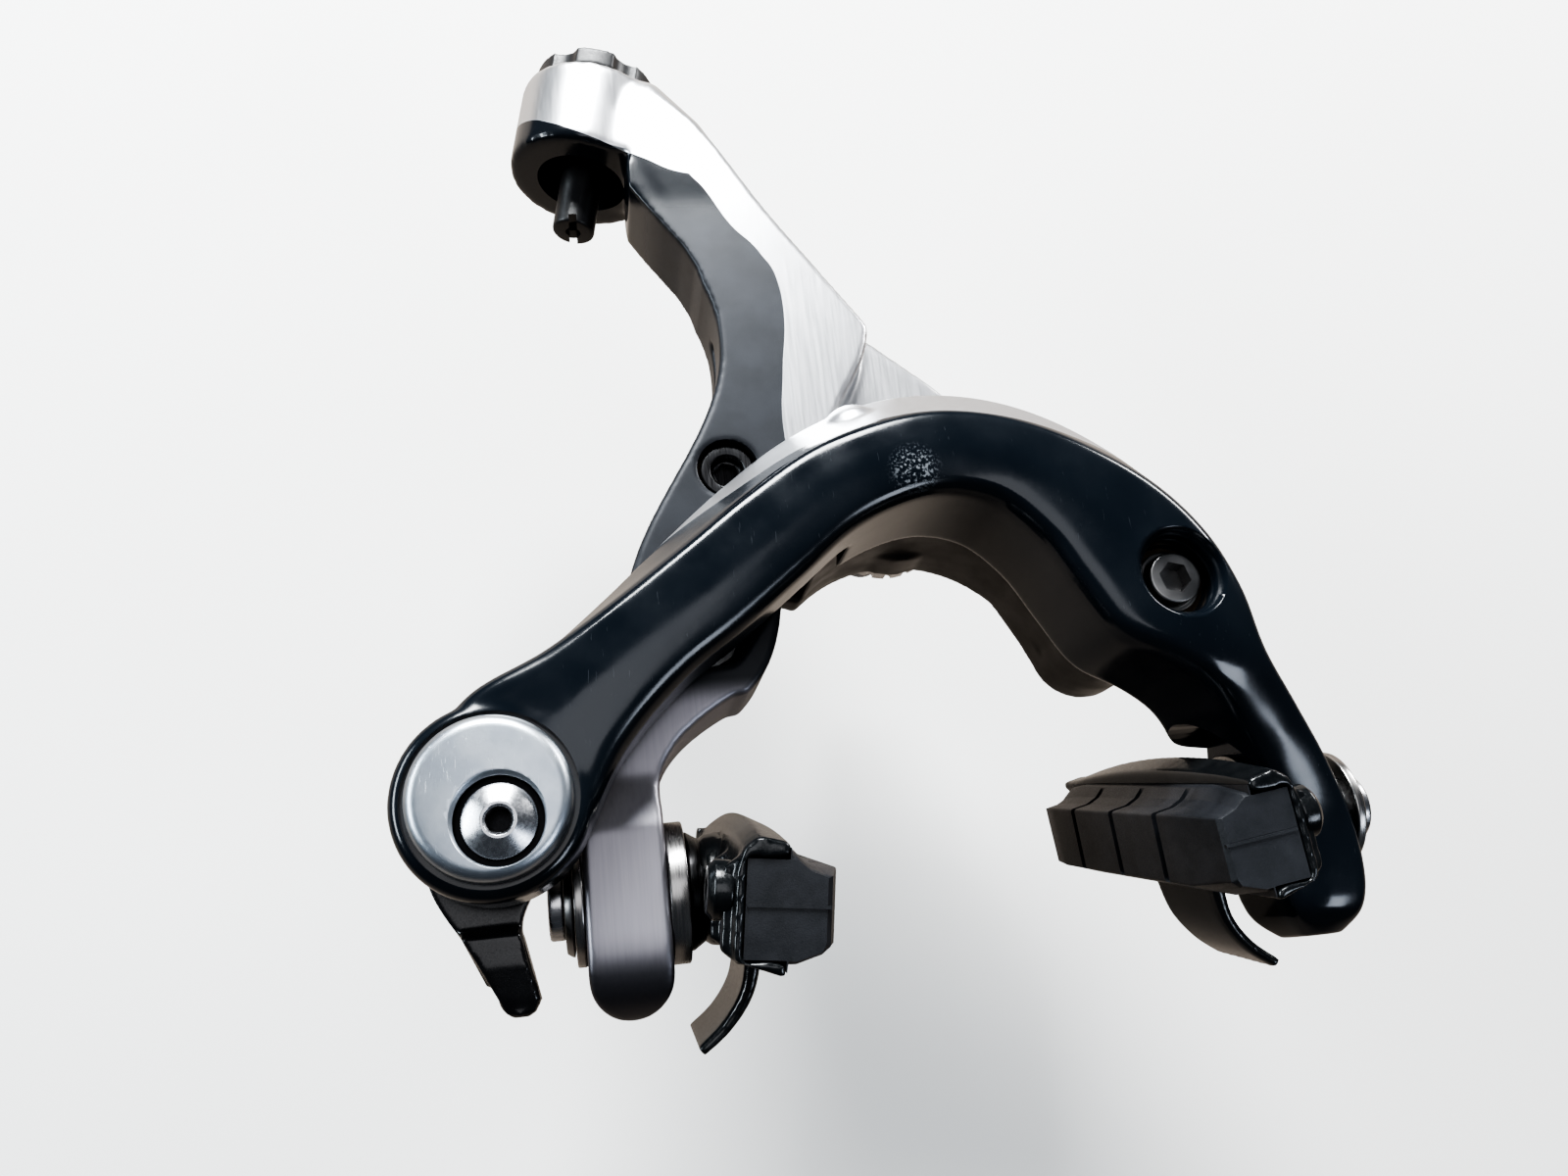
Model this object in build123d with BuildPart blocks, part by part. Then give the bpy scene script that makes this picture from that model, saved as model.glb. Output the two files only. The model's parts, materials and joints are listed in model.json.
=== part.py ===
from build123d import *
import os
from math import cos, radians, sin

# Dual-pivot side-pull rim brake caliper, seen from the side where its arch faces.
# Frame: origin on the mounting bolt's axis, in the seat face that meets the bicycle.
# +X is the viewer's right, +Y runs back into the bicycle, +Z is up. Millimetres.
# "Depth" below always means the distance in front of the seat face, towards -Y.

# ---- driving dimensions -------------------------------------------------
LEFT_PIVOT = (-22.0, -1.5)
RIGHT_PIVOT = (22.0, -19.5)
CAM_AXIS = (-47.5, -36.3)
ANCHOR = (-46.7, -38.5)             # cable anchor, eccentric in the cam
CAM_BOSS_R = 9.0

SEAT_WASHER_T = 3.0
BRIDGE_PLATE_T = 3.8
BRIDGE_FRONT = 18.2                 # depth of the skirt's and right boss's front
BOLT_R = 3.0                        # M6 mounting bolt
BOLT_SHOULDER_R = 3.5
BOLT_EXPOSED = 13.0
BOLT_HEAD_R = 4.8

ARCH_BACK = 18.8                    # deep part of the right arm
ARCH_LEFT_BACK = 26.0               # where it passes over the left arm
ARCH_CREST = 27.0
ARCH_FRONT = 34.5
CREST_RISE = 5.4                    # the band climbs this much from front to crest

LEFT_ARM_BACK = 12.2
LEFT_ARM_FRONT = 24.0
LOBE_BACK = 13.2
LOBE_FRONT = 17.4

SPRING_COIL_R = 5.35
SPRING_HOOK = (LEFT_PIVOT[0] - SPRING_COIL_R, -18.6)    # where its long leg enters the left arm
LINK = (5.9, -2.5)                  # roller that ties the two arms together
LINK_R = 2.5

FOOT_BACK = 13.0
FOOT_FRONT = 25.6
FOOT_MID = 19.3                     # depth of the shoe bolts
FOOT_BOTTOM = -56.6
SLOT_CENTRE_Z = -44.0
SLOT_TRAVEL = 4.0
SHOE_BOLT_R = 3.0
SLOT_HALF_W = 3.2
LEFT_FOOT_IN, LEFT_FOOT_OUT = -32.0, -40.0
RIGHT_FOOT_IN, RIGHT_FOOT_OUT = 30.8, 40.0
LEFT_SHOE_Z, RIGHT_SHOE_Z = -45.0, -43.4
SHOE_PITCH = 9.0                    # the far ends follow the rim upwards
SHOE_LEAN = 7.5                     # rim faces tip down with the arms open
SHOE_HUB = 4.0                      # the lean is about this point on the bolt, from the foot
SHOE_NEAR, SHOE_FAR = -19.7, 26.2   # from the shoe bolt, along the pad
SHOE_WASHER_R = 6.9

RING_BASE = (-35.3, -16.0, 40.3)
RING_TILT = 11.3
RING_R = 8.7
RING_H = 11.2
RING_BORE_R = 5.3
HOUSING_R = 2.6                     # seat for a 5 mm cable housing
HOUSING_SEAT = 6.4
KNOB_BASE = RING_H + 0.5
KNOB_T = 2.4
HOUSING_DEPTH = 9.0                 # how far a cable housing enters the barrel
CABLE_R = 0.9

FIT = 0.05                          # radial running clearance


def front(depth):
    """Plane facing the viewer, so many millimetres in front of the seat."""
    return Plane.XZ.offset(depth)


def across(x, depth, z, side):
    """Plane square to the shoe bolts; side +1 faces right, -1 faces left."""
    return Plane(origin=(x, -depth, z), x_dir=(0, 1, 0), z_dir=(side, 0, 0))


def ring_level(height):
    """Plane square to the adjuster's tilted axis, above the ring's lower face."""
    a = radians(RING_TILT)
    origin = (RING_BASE[0] + height * sin(a), RING_BASE[1], RING_BASE[2] + height * cos(a))
    return Plane(origin=origin, x_dir=(cos(a), 0, -sin(a)), z_dir=(sin(a), 0, cos(a)))


def save(part, name):
    part.label = name
    export_step(part, f"parts/{name}.step")


def socket_bolt(name, centre, head_r, head, shank, thread, socket):
    """Bolt along the depth axis: head, shank and thread are (radius, from, to)."""
    with BuildPart() as bolt:
        with BuildSketch(front(head[0])):
            with Locations(centre):
                Circle(head_r)
        extrude(amount=head[1] - head[0])
        chamfer(bolt.faces().sort_by(Axis.Y)[0].edges(), 0.35)
        for radius, start, end in (shank, thread):
            with BuildSketch(front(start)):
                with Locations(centre):
                    Circle(radius)
            extrude(amount=end - start)
        with BuildSketch(front(head[1])):
            with Locations(centre):
                RegularPolygon(socket / 2, 6, major_radius=False)
        extrude(amount=-1.8, mode=Mode.SUBTRACT)
    save(bolt.part, name)


def tube(name, plane, outer, inner, length):
    """Plain ring or sleeve standing on a plane."""
    with BuildPart() as ring:
        with BuildSketch(plane):
            Circle(outer)
            Circle(inner, mode=Mode.SUBTRACT)
        extrude(amount=length)
    save(ring.part, name)


def shoe_slot_cut(inner_x, side):
    """Through slot for a shoe bolt with a flat seat on the foot's inner face; side points inward."""
    seat_r = SHOE_WASHER_R + 0.4
    with BuildPart() as cut:
        with BuildSketch(across(inner_x + side, FOOT_MID, SLOT_CENTRE_Z, -side)):
            SlotOverall(2 * (SLOT_TRAVEL + SLOT_HALF_W), 2 * SLOT_HALF_W, rotation=90)
        extrude(amount=14)
        with BuildSketch(across(inner_x, FOOT_MID, SLOT_CENTRE_Z, side)):
            SlotOverall(2 * (SLOT_TRAVEL + seat_r), 2 * seat_r, rotation=90)
        extrude(amount=9)
    return cut.part


def pivot_plane(pivot, depth):
    return Plane(origin=(pivot[0], -depth, pivot[1]), x_dir=(1, 0, 0), z_dir=(0, -1, 0))


# ---- bridge and mounting hardware ---------------------------------------
def make_bridge():
    left_end, right_end = (-13.0, -12.2), (13.0, -14.0)
    crown_low = (-0.8, -7.4)
    skirt = 2.4
    sleeve_end = 11.7
    with BuildPart() as bridge:
        with BuildSketch(front(SEAT_WASHER_T)):
            with BuildLine():
                Line((-26, -7.2), left_end)
                ThreePointArc(left_end, crown_low, right_end)
                Line(right_end, (16.4, -22.0))
                Line((16.4, -22.0), (26.4, -15.1))
                ThreePointArc((26.4, -15.1), (15.5, -0.5), (2.0, 7.7))
                Line((2.0, 7.7), (-21.0, 5.4))
                Line((-21.0, 5.4), (-26, -7.2))
            make_face()
            with Locations((0, 0)):
                Circle(8.2)
            with Locations(RIGHT_PIVOT):
                Circle(6.2)
            with Locations(LEFT_PIVOT):
                Circle(7.0)
            with BuildLine():
                Polyline((-28.8, -3.0), (-29.2, -9.6), (-27.0, -10.8), (-20.0, -8.4), (-28.8, -3.0))
            make_face()
        extrude(amount=BRIDGE_PLATE_T)
        with BuildSketch(front(SEAT_WASHER_T)):
            with Locations((-28.0, -9.9)):
                Circle(1.0)
        extrude(amount=BRIDGE_PLATE_T + 1.6)
        with BuildSketch(front(SEAT_WASHER_T)):
            with Locations(RIGHT_PIVOT):
                Circle(6.2)
            with BuildLine():
                ThreePointArc(left_end, crown_low, right_end)
                Line(right_end, (right_end[0] + 1.6, right_end[1] + skirt))
                ThreePointArc((right_end[0] + 1.6, right_end[1] + skirt),
                              (crown_low[0], crown_low[1] + skirt),
                              (left_end[0] + 0.6, left_end[1] + skirt * 0.6))
                Line((left_end[0] + 0.6, left_end[1] + skirt * 0.6), left_end)
            make_face()
            with BuildLine():
                Polyline((12.2, -13.2), (14.6, -11.6), (20.0, -14.5), (17.0, -22.5), (12.2, -13.2))
            make_face()
        extrude(amount=BRIDGE_FRONT - SEAT_WASHER_T)
        with BuildSketch(front(SEAT_WASHER_T)):
            Circle(8.2)
        extrude(amount=6.0)
        with BuildSketch(front(SEAT_WASHER_T)):
            with Locations(LEFT_PIVOT):
                Circle(4.4)
        extrude(amount=sleeve_end - SEAT_WASHER_T)
        with BuildSketch(front(SEAT_WASHER_T)):
            with Locations(LEFT_PIVOT, RIGHT_PIVOT):
                Circle(2.5)
            with Locations((0, 0)):
                Circle(BOLT_SHOULDER_R)
        extrude(amount=BRIDGE_FRONT, mode=Mode.SUBTRACT)
    save(bridge.part, "bridge")


def make_mounting():
    teeth = 20
    with BuildPart() as bolt:
        with BuildSketch(front(9.0)):
            Circle(BOLT_HEAD_R)
        extrude(amount=2.8)
        chamfer(bolt.faces().sort_by(Axis.Y)[0].edges(), 0.6)
        with BuildSketch(front(9.0)):
            Circle(BOLT_SHOULDER_R - 0.02)
        extrude(amount=-9.0)
        with BuildSketch(Plane.XZ):
            Circle(BOLT_R)
        extrude(amount=-BOLT_EXPOSED)
        with BuildSketch(Plane.XZ.offset(-BOLT_EXPOSED)):
            Circle(BOLT_R)
        extrude(amount=-0.8, taper=35)
        with BuildSketch(front(11.8)):
            RegularPolygon(2.5, 6, major_radius=False)
        extrude(amount=-2.2, mode=Mode.SUBTRACT)
    save(bolt.part, "mounting_bolt")
    with BuildPart() as washer:
        with BuildSketch(Plane.XZ):
            Circle(7.6)
            Circle(BOLT_SHOULDER_R + FIT, mode=Mode.SUBTRACT)
        extrude(amount=SEAT_WASHER_T - 0.02)
        with BuildSketch(Plane.XZ):
            with PolarLocations(7.6, teeth):
                Circle(0.45)
        extrude(amount=SEAT_WASHER_T - 0.02, mode=Mode.SUBTRACT)
    save(washer.part, "seat_washer")


# ---- right arm: the front arch ------------------------------------------
def arch_wire(rise):
    """Closed outline of the arch; rise lifts the crown of its upper edge."""
    lift = rise / CREST_RISE
    Spline((-51.0, -28.0), (-38.0, -20.9 + 3.4 * lift), (-28.2, -13.7 + 3.9 * lift),
           (-14.4, -4.0 + 3.4 * lift), (-0.5, -0.8 + 5.4 * lift), (13.7, -4.8 + 6.0 * lift),
           (22.5, -11.2 + 3.0 * lift), (27.4, -19.0 + 1.0 * lift), (29.4, -27.0))
    Line((29.4, -27.0), (21.0, -29.0))
    Spline((21.0, -29.0), (15.0, -26.0), (11.2, -19.6), (7.0, -12.9), (2.3, -9.9), (-2.8, -9.3),
           (-8.2, -10.8), (-19.1, -18.8), (-29.3, -26.4), (-35.2, -32.4), (-38.7, -37.6))
    Line((-38.7, -37.6), (-47.5, -38.3))
    Line((-47.5, -38.3), (-51.0, -28.0))


def make_right_arm():
    boss_back = 29.7
    with BuildPart() as arm:
        with BuildSketch(front(FOOT_BACK - 1)):
            with BuildLine():
                Spline((28.9, -23.0), (30.6, -29.5), (34.6, -35.4), (38.4, -39.0), (RIGHT_FOOT_OUT, -42.0))
                Line((RIGHT_FOOT_OUT, -42.0), (RIGHT_FOOT_OUT, -52.0))
                ThreePointArc((RIGHT_FOOT_OUT, -52.0), (35.4, FOOT_BOTTOM), (RIGHT_FOOT_IN, -52.0))
                Line((RIGHT_FOOT_IN, -52.0), (RIGHT_FOOT_IN, -40.0))
                Spline((RIGHT_FOOT_IN, -40.0), (28.6, -35.4), (25.0, -31.6), (19.6, -27.4))
                Line((19.6, -27.4), (28.9, -23.0))
            make_face()
        extrude(amount=ARCH_FRONT - FOOT_BACK + 1)
        with BuildSketch(Plane.YZ.offset(10)):
            with BuildLine():
                Polyline((-ARCH_BACK, -20), (-ARCH_FRONT, -20), (-ARCH_FRONT + 0.4, -27))
                Spline((-ARCH_FRONT + 0.4, -27), (-29.0, -33.5), (-FOOT_FRONT - 0.4, -41), (-FOOT_FRONT, -50))
                ThreePointArc((-FOOT_FRONT, -50), (-FOOT_MID, FOOT_BOTTOM), (-FOOT_BACK, -50))
                Polyline((-FOOT_BACK, -50), (-FOOT_BACK, -37), (-ARCH_BACK, -28), (-ARCH_BACK, -20))
            make_face()
        extrude(amount=40, mode=Mode.INTERSECT)
        with BuildSketch(front(ARCH_BACK)):
            with BuildLine():
                arch_wire(CREST_RISE)
            make_face()
        extrude(amount=ARCH_CREST - ARCH_BACK)
        with BuildSketch(front(ARCH_CREST)):
            with BuildLine():
                arch_wire(CREST_RISE)
            make_face()
        with BuildSketch(front(ARCH_FRONT)):
            with BuildLine():
                arch_wire(0)
            make_face()
        loft()
        with BuildSketch(front(ARCH_BACK - 1)):
            with BuildLine():
                Polyline((-70, -60), (-70, 20), (-5.5, 20), (-7.6, 6), (-12.0, -20), (-30, -60), (-70, -60))
            make_face()
        extrude(amount=ARCH_LEFT_BACK - ARCH_BACK + 1, mode=Mode.SUBTRACT)
        with BuildSketch(front(ARCH_LEFT_BACK)):
            with Locations(CAM_AXIS):
                Circle(CAM_BOSS_R)
        extrude(amount=ARCH_FRONT - ARCH_LEFT_BACK - 0.4)
        with BuildSketch(front(33.2)):
            with Locations(CAM_AXIS):
                Circle(7.9)
        extrude(amount=5, mode=Mode.SUBTRACT)
        with BuildSketch(front(ARCH_LEFT_BACK - 1)):
            with Locations(CAM_AXIS):
                Circle(5.0 + FIT)
        extrude(amount=12, mode=Mode.SUBTRACT)
        with BuildSketch(front(ARCH_BACK - 1)):
            with Locations(RIGHT_PIVOT):
                Circle(3.95)
        extrude(amount=20, mode=Mode.SUBTRACT)
        with BuildSketch(front(boss_back)):
            with Locations(RIGHT_PIVOT):
                Circle(4.4)
        extrude(amount=8, mode=Mode.SUBTRACT)
        with BuildSketch(front(ARCH_BACK - 1)):
            with Locations(LINK):
                Circle(1.27)
        extrude(amount=6.2, mode=Mode.SUBTRACT)
        add(shoe_slot_cut(RIGHT_FOOT_IN, -1), mode=Mode.SUBTRACT)
    save(arm.part, "right_arm")


# ---- left arm: housing ring, pivot boss, link lobe and foot --------------
def make_left_arm():
    with BuildPart() as arm:
        with BuildSketch(front(FOOT_BACK - 1)):
            with BuildLine():
                Spline((-33.0, -22.0), (-35.0, -28.5), (-37.6, -34.0), (LEFT_FOOT_OUT, -39.0))
                Line((LEFT_FOOT_OUT, -39.0), (LEFT_FOOT_OUT, -52.6))
                ThreePointArc((LEFT_FOOT_OUT, -52.6), (-36.0, FOOT_BOTTOM), (LEFT_FOOT_IN, -52.6))
                Line((LEFT_FOOT_IN, -52.6), (LEFT_FOOT_IN, -37.0))
                Spline((LEFT_FOOT_IN, -37.0), (-31.2, -32.6), (-28.4, -29.4), (-21.8, -25.6))
                Line((-21.8, -25.6), (-33.0, -22.0))
            make_face()
        extrude(amount=FOOT_FRONT - FOOT_BACK + 1)
        with BuildSketch(Plane.YZ.offset(-45)):
            with BuildLine():
                Polyline((-LEFT_ARM_BACK, -20), (-LEFT_ARM_FRONT, -20), (-LEFT_ARM_FRONT, -34),
                         (-FOOT_FRONT, -39), (-FOOT_FRONT, -50))
                ThreePointArc((-FOOT_FRONT, -50), (-FOOT_MID, FOOT_BOTTOM), (-FOOT_BACK, -50))
                Polyline((-FOOT_BACK, -50), (-FOOT_BACK, -36), (-LEFT_ARM_BACK, -30), (-LEFT_ARM_BACK, -20))
            make_face()
        extrude(amount=30, mode=Mode.INTERSECT)
        with BuildSketch(front(LEFT_ARM_BACK)):
            with BuildLine():
                Spline((-27.0, 48.0), (-21.6, 43.0), (-15.6, 33.0), (-9.9, 24.0), (-4.3, 15.4))
                Spline((-4.3, 15.4), (-4.9, 12.4), (-8.4, 6.0), (-12.6, -3.0), (-16.3, -10.0), (-17.7, -16.6),
                       (-18.9, -21.4), (-22.4, -26.4))
                Line((-22.4, -26.4), (-34.0, -27.0))
                Spline((-34.0, -27.0), (-34.6, -20.0), (-33.2, -12.4), (-26.3, 0.4), (-21.8, 11.0), (-21.9, 18.4),
                       (-25.4, 26.0), (-30.4, 31.6), (-36.4, 39.0))
                Line((-36.4, 39.0), (-27.0, 48.0))
            make_face()
        extrude(amount=LEFT_ARM_FRONT - LEFT_ARM_BACK)
        with BuildSketch(front(LOBE_BACK)):
            with BuildLine():
                Polyline((-15.0, 6.0), (-12.0, 22.0), (-4.6, 18.4), (4.6, 10.4), (13.4, 1.0), (13.9, -2.4))
                Line((13.9, -2.4), (12.6, -1.7))
                ThreePointArc((12.6, -1.7), (9.2, -0.1), (5.9, 0.35))
                Polyline((5.9, 0.35), (0.0, 0.6), (-9.0, -1.6), (-15.0, 6.0))
            make_face()
        extrude(amount=LOBE_FRONT - LOBE_BACK)
        with BuildSketch(ring_level(0)):
            Circle(RING_R)
        extrude(amount=RING_H)
        with BuildSketch(ring_level(0)):
            Circle(RING_BORE_R)
        extrude(amount=HOUSING_SEAT, mode=Mode.SUBTRACT)
        with BuildSketch(ring_level(-14)):
            Circle(RING_BORE_R)
        extrude(amount=14, mode=Mode.SUBTRACT)
        with BuildSketch(ring_level(0)):
            Circle(4.2)
        extrude(amount=RING_H, mode=Mode.SUBTRACT)
        with BuildSketch(front(LEFT_ARM_BACK - 1)):
            with Locations(LEFT_PIVOT):
                Circle(3.45)
        extrude(amount=10.1, mode=Mode.SUBTRACT)
        with BuildSketch(front(LEFT_ARM_BACK - 1)):
            with Locations(LEFT_PIVOT):
                Circle(3.1)
        extrude(amount=20, mode=Mode.SUBTRACT)
        with BuildSketch(front(14.2)):
            with BuildLine():
                FilletPolyline((-30.6, -23.6), (-29.6, -13.0), (-21.0, -11.0), (-19.6, -18.0), (-23.2, -23.0),
                               radius=1.2, close=True)
            make_face()
        extrude(amount=12, mode=Mode.SUBTRACT)
        with BuildSketch(front(16.6)):
            with BuildLine():
                Polyline((-24.0, 17.0), (-19.9, 17.0), (-19.8, 11.0), (-24.4, 0.4), (-31.4, -12.0), (-37.0, -12.0),
                         (-24.0, 17.0))
            make_face()
        extrude(amount=1.4, mode=Mode.SUBTRACT)
        with BuildSketch(front(LEFT_ARM_BACK - 1)):
            with Locations(SPRING_HOOK):
                Circle(0.9)
        extrude(amount=4, mode=Mode.SUBTRACT)
        with BuildSketch(Plane.XY):
            with Locations((LINK[0], -(LOBE_BACK + LOBE_FRONT) / 2)):
                Circle(1.5 + FIT)
        extrude(amount=20, mode=Mode.SUBTRACT)
        add(shoe_slot_cut(LEFT_FOOT_IN, 1), mode=Mode.SUBTRACT)
    save(arm.part, "left_arm")


# ---- pivots, link and spring --------------------------------------------
def make_pivots():
    socket_bolt("right_pivot_bolt", RIGHT_PIVOT, 3.4, (29.75, 31.9), (3.0, BRIDGE_FRONT, 29.75),
                (2.48, 5.0, BRIDGE_FRONT), 3.0)
    socket_bolt("left_pivot_bolt", LEFT_PIVOT, 2.95, (21.4, 23.4), (2.48, 12.0, 21.4),
                (2.48, SEAT_WASHER_T, 12.0), 2.5)
    tube("right_pivot_bush", pivot_plane(RIGHT_PIVOT, ARCH_BACK), 3.93, 3.0 + FIT, 10.85)
    tube("left_pivot_bush", pivot_plane(LEFT_PIVOT, LEFT_ARM_BACK), 3.43, 2.48 + FIT, 9.05)
    tube("right_thrust_washer", pivot_plane(RIGHT_PIVOT, BRIDGE_FRONT + 0.02), 5.9, 3.0 + FIT, 0.4)
    tube("left_thrust_washer", pivot_plane(LEFT_PIVOT, 11.72), 4.4, 2.48 + FIT, 0.4)


def make_link():
    with BuildPart() as pin:
        with BuildSketch(front(12.6)):
            with Locations(LINK):
                Circle(1.25)
        extrude(amount=11.3)
        with BuildSketch(front(12.3)):
            with Locations(LINK):
                Circle(1.9)
        extrude(amount=0.5)
    save(pin.part, "link_pin")
    tube("link_roller", pivot_plane(LINK, LOBE_BACK - 0.2), LINK_R, 1.25 + FIT, LOBE_FRONT - LOBE_BACK + 0.6)
    with BuildPart() as screw:
        with BuildSketch(Plane.XY.offset(0.5)):
            with Locations((LINK[0], -(LOBE_BACK + LOBE_FRONT) / 2)):
                Circle(1.5)
        extrude(amount=9.0)
        with BuildSketch(Plane.XY.offset(9.5)):
            with Locations((LINK[0], -(LOBE_BACK + LOBE_FRONT) / 2)):
                RegularPolygon(0.75, 6, major_radius=False)
        extrude(amount=-1.6, mode=Mode.SUBTRACT)
    save(screw.part, "centring_screw")


def make_spring():
    """Torsion spring round the left pivot sleeve; its long leg hooks into the left arm."""
    wire_r, pitch, turns = 0.65, 1.42, 2.75
    start = 7.55
    end = start + pitch * turns
    low = LEFT_PIVOT[1] - SPRING_COIL_R
    with BuildPart() as spring:
        with BuildLine() as coil:
            Helix(pitch, pitch * turns, SPRING_COIL_R, center=(LEFT_PIVOT[0], -start, LEFT_PIVOT[1]),
                  direction=(0, -1, 0))
        path = coil.edges()[0]
        with BuildSketch(Plane(origin=path @ 0, z_dir=path % 0)):
            Circle(wire_r)
        sweep(path=path, is_frenet=True)
        with BuildSketch(Plane(origin=(LEFT_PIVOT[0], -start, low), z_dir=(-1, 0, 0))):
            Circle(wire_r)
        extrude(amount=7.5)
        with BuildSketch(Plane(origin=(SPRING_HOOK[0], -end, LEFT_PIVOT[1]), z_dir=(0, 0, -1))):
            Circle(wire_r)
        extrude(amount=LEFT_PIVOT[1] - SPRING_HOOK[1])
        with BuildSketch(front(end)):
            with Locations(SPRING_HOOK):
                Circle(wire_r)
        extrude(amount=14.2 - end)
        with Locations((SPRING_HOOK[0], -end, SPRING_HOOK[1])):
            Sphere(wire_r)
    save(spring.part, "return_spring")
    with BuildPart() as slider:
        with BuildSketch(front(14.3)):
            with BuildLine():
                FilletPolyline((-28.4, -22.6), (-27.4, -17.6), (-22.2, -14.6), (-20.6, -17.2), (-23.2, -21.4),
                               (-26.2, -23.0), radius=0.7, close=True)
            make_face()
        extrude(amount=5.0)
        with BuildSketch(front(17.4)):
            with Locations((-24.2, -18.6)):
                SlotOverall(5.4, 0.9, rotation=38)
        extrude(amount=3.0, mode=Mode.SUBTRACT)
    save(slider.part, "spring_slider")


# ---- cable anchor with its quick-release cam -----------------------------
def make_quick_release():
    with BuildPart() as cam:
        with BuildSketch(front(ARCH_LEFT_BACK - 0.9)):
            with Locations(CAM_AXIS):
                Circle(5.0)
        extrude(amount=8.4)
        with BuildSketch(front(33.3)):
            with Locations(CAM_AXIS):
                Circle(7.4)
        extrude(amount=2.7)
        fillet(cam.faces().sort_by(Axis.Y)[0].edges(), 1.2)
        with BuildSketch(front(34.4)):
            with Locations(ANCHOR):
                Circle(3.9)
        extrude(amount=3, mode=Mode.SUBTRACT)
        with BuildSketch(front(20)):
            with Locations(ANCHOR):
                Circle(2.05)
        extrude(amount=20, mode=Mode.SUBTRACT)
    save(cam.part, "cam_disc")
    with BuildPart() as bolt:
        with BuildSketch(front(34.42)):
            with Locations(ANCHOR):
                Circle(3.8)
        extrude(amount=0.7)
        with BuildSketch(front(35.12)):
            with Locations(ANCHOR):
                Circle(3.15)
        extrude(amount=1.1, taper=40)
        with BuildSketch(front(17.2)):
            with Locations(ANCHOR):
                Circle(2.0)
        extrude(amount=17.22)
        with BuildSketch(front(36.22)):
            with Locations(ANCHOR):
                RegularPolygon(1.0, 6, major_radius=False)
        extrude(amount=-1.6, mode=Mode.SUBTRACT)
    save(bolt.part, "anchor_bolt")
    with BuildPart() as lever:
        with BuildSketch(front(22.9)):
            with Locations(CAM_AXIS):
                Circle(5.2)
            with BuildLine():
                Spline((-53.0, -36.6), (-54.3, -42.0), (-51.4, -47.5), (-48.2, -53.2))
                ThreePointArc((-48.2, -53.2), (-46.4, -55.0), (-44.4, -53.6))
                Spline((-44.4, -53.6), (-45.2, -50.4), (-45.9, -47.4), (-44.0, -42.9), (-42.8, -38.6))
                Line((-42.8, -38.6), (-53.0, -36.6))
            make_face()
        extrude(amount=2.15)
        with BuildSketch(front(21.4)):
            with BuildLine():
                Polyline((-51.0, -48.2), (-45.8, -47.6), (-44.4, -53.6), (-46.4, -55.0), (-48.2, -53.2), (-51.0, -48.2))
            make_face()
        extrude(amount=4.0)
        with BuildSketch(front(20)):
            with Locations(ANCHOR):
                Circle(2.05)
        extrude(amount=8, mode=Mode.SUBTRACT)
    save(lever.part, "quick_release_lever")
    with BuildPart() as plate:
        with BuildSketch(front(20.9)):
            with Locations(ANCHOR):
                Circle(3.1)
                Circle(2.05, mode=Mode.SUBTRACT)
        extrude(amount=1.95)
        with BuildSketch(front(20.9)):
            with Locations((ANCHOR[0] - 2.75, ANCHOR[1])):
                Rectangle(1.0, 8)
        extrude(amount=0.8, mode=Mode.SUBTRACT)
    save(plate.part, "cable_clamp_plate")
    with BuildPart() as nut:
        with BuildSketch(front(17.6)):
            with Locations(ANCHOR):
                Circle(3.1)
                Circle(2.05, mode=Mode.SUBTRACT)
        extrude(amount=3.25)
        with BuildSketch(front(17.6)):
            with Locations((ANCHOR[0], ANCHOR[1] + 3.6), (ANCHOR[0], ANCHOR[1] - 3.6)):
                Rectangle(8, 1.8)
        extrude(amount=2.4, mode=Mode.SUBTRACT)
    save(nut.part, "anchor_nut")


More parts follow.
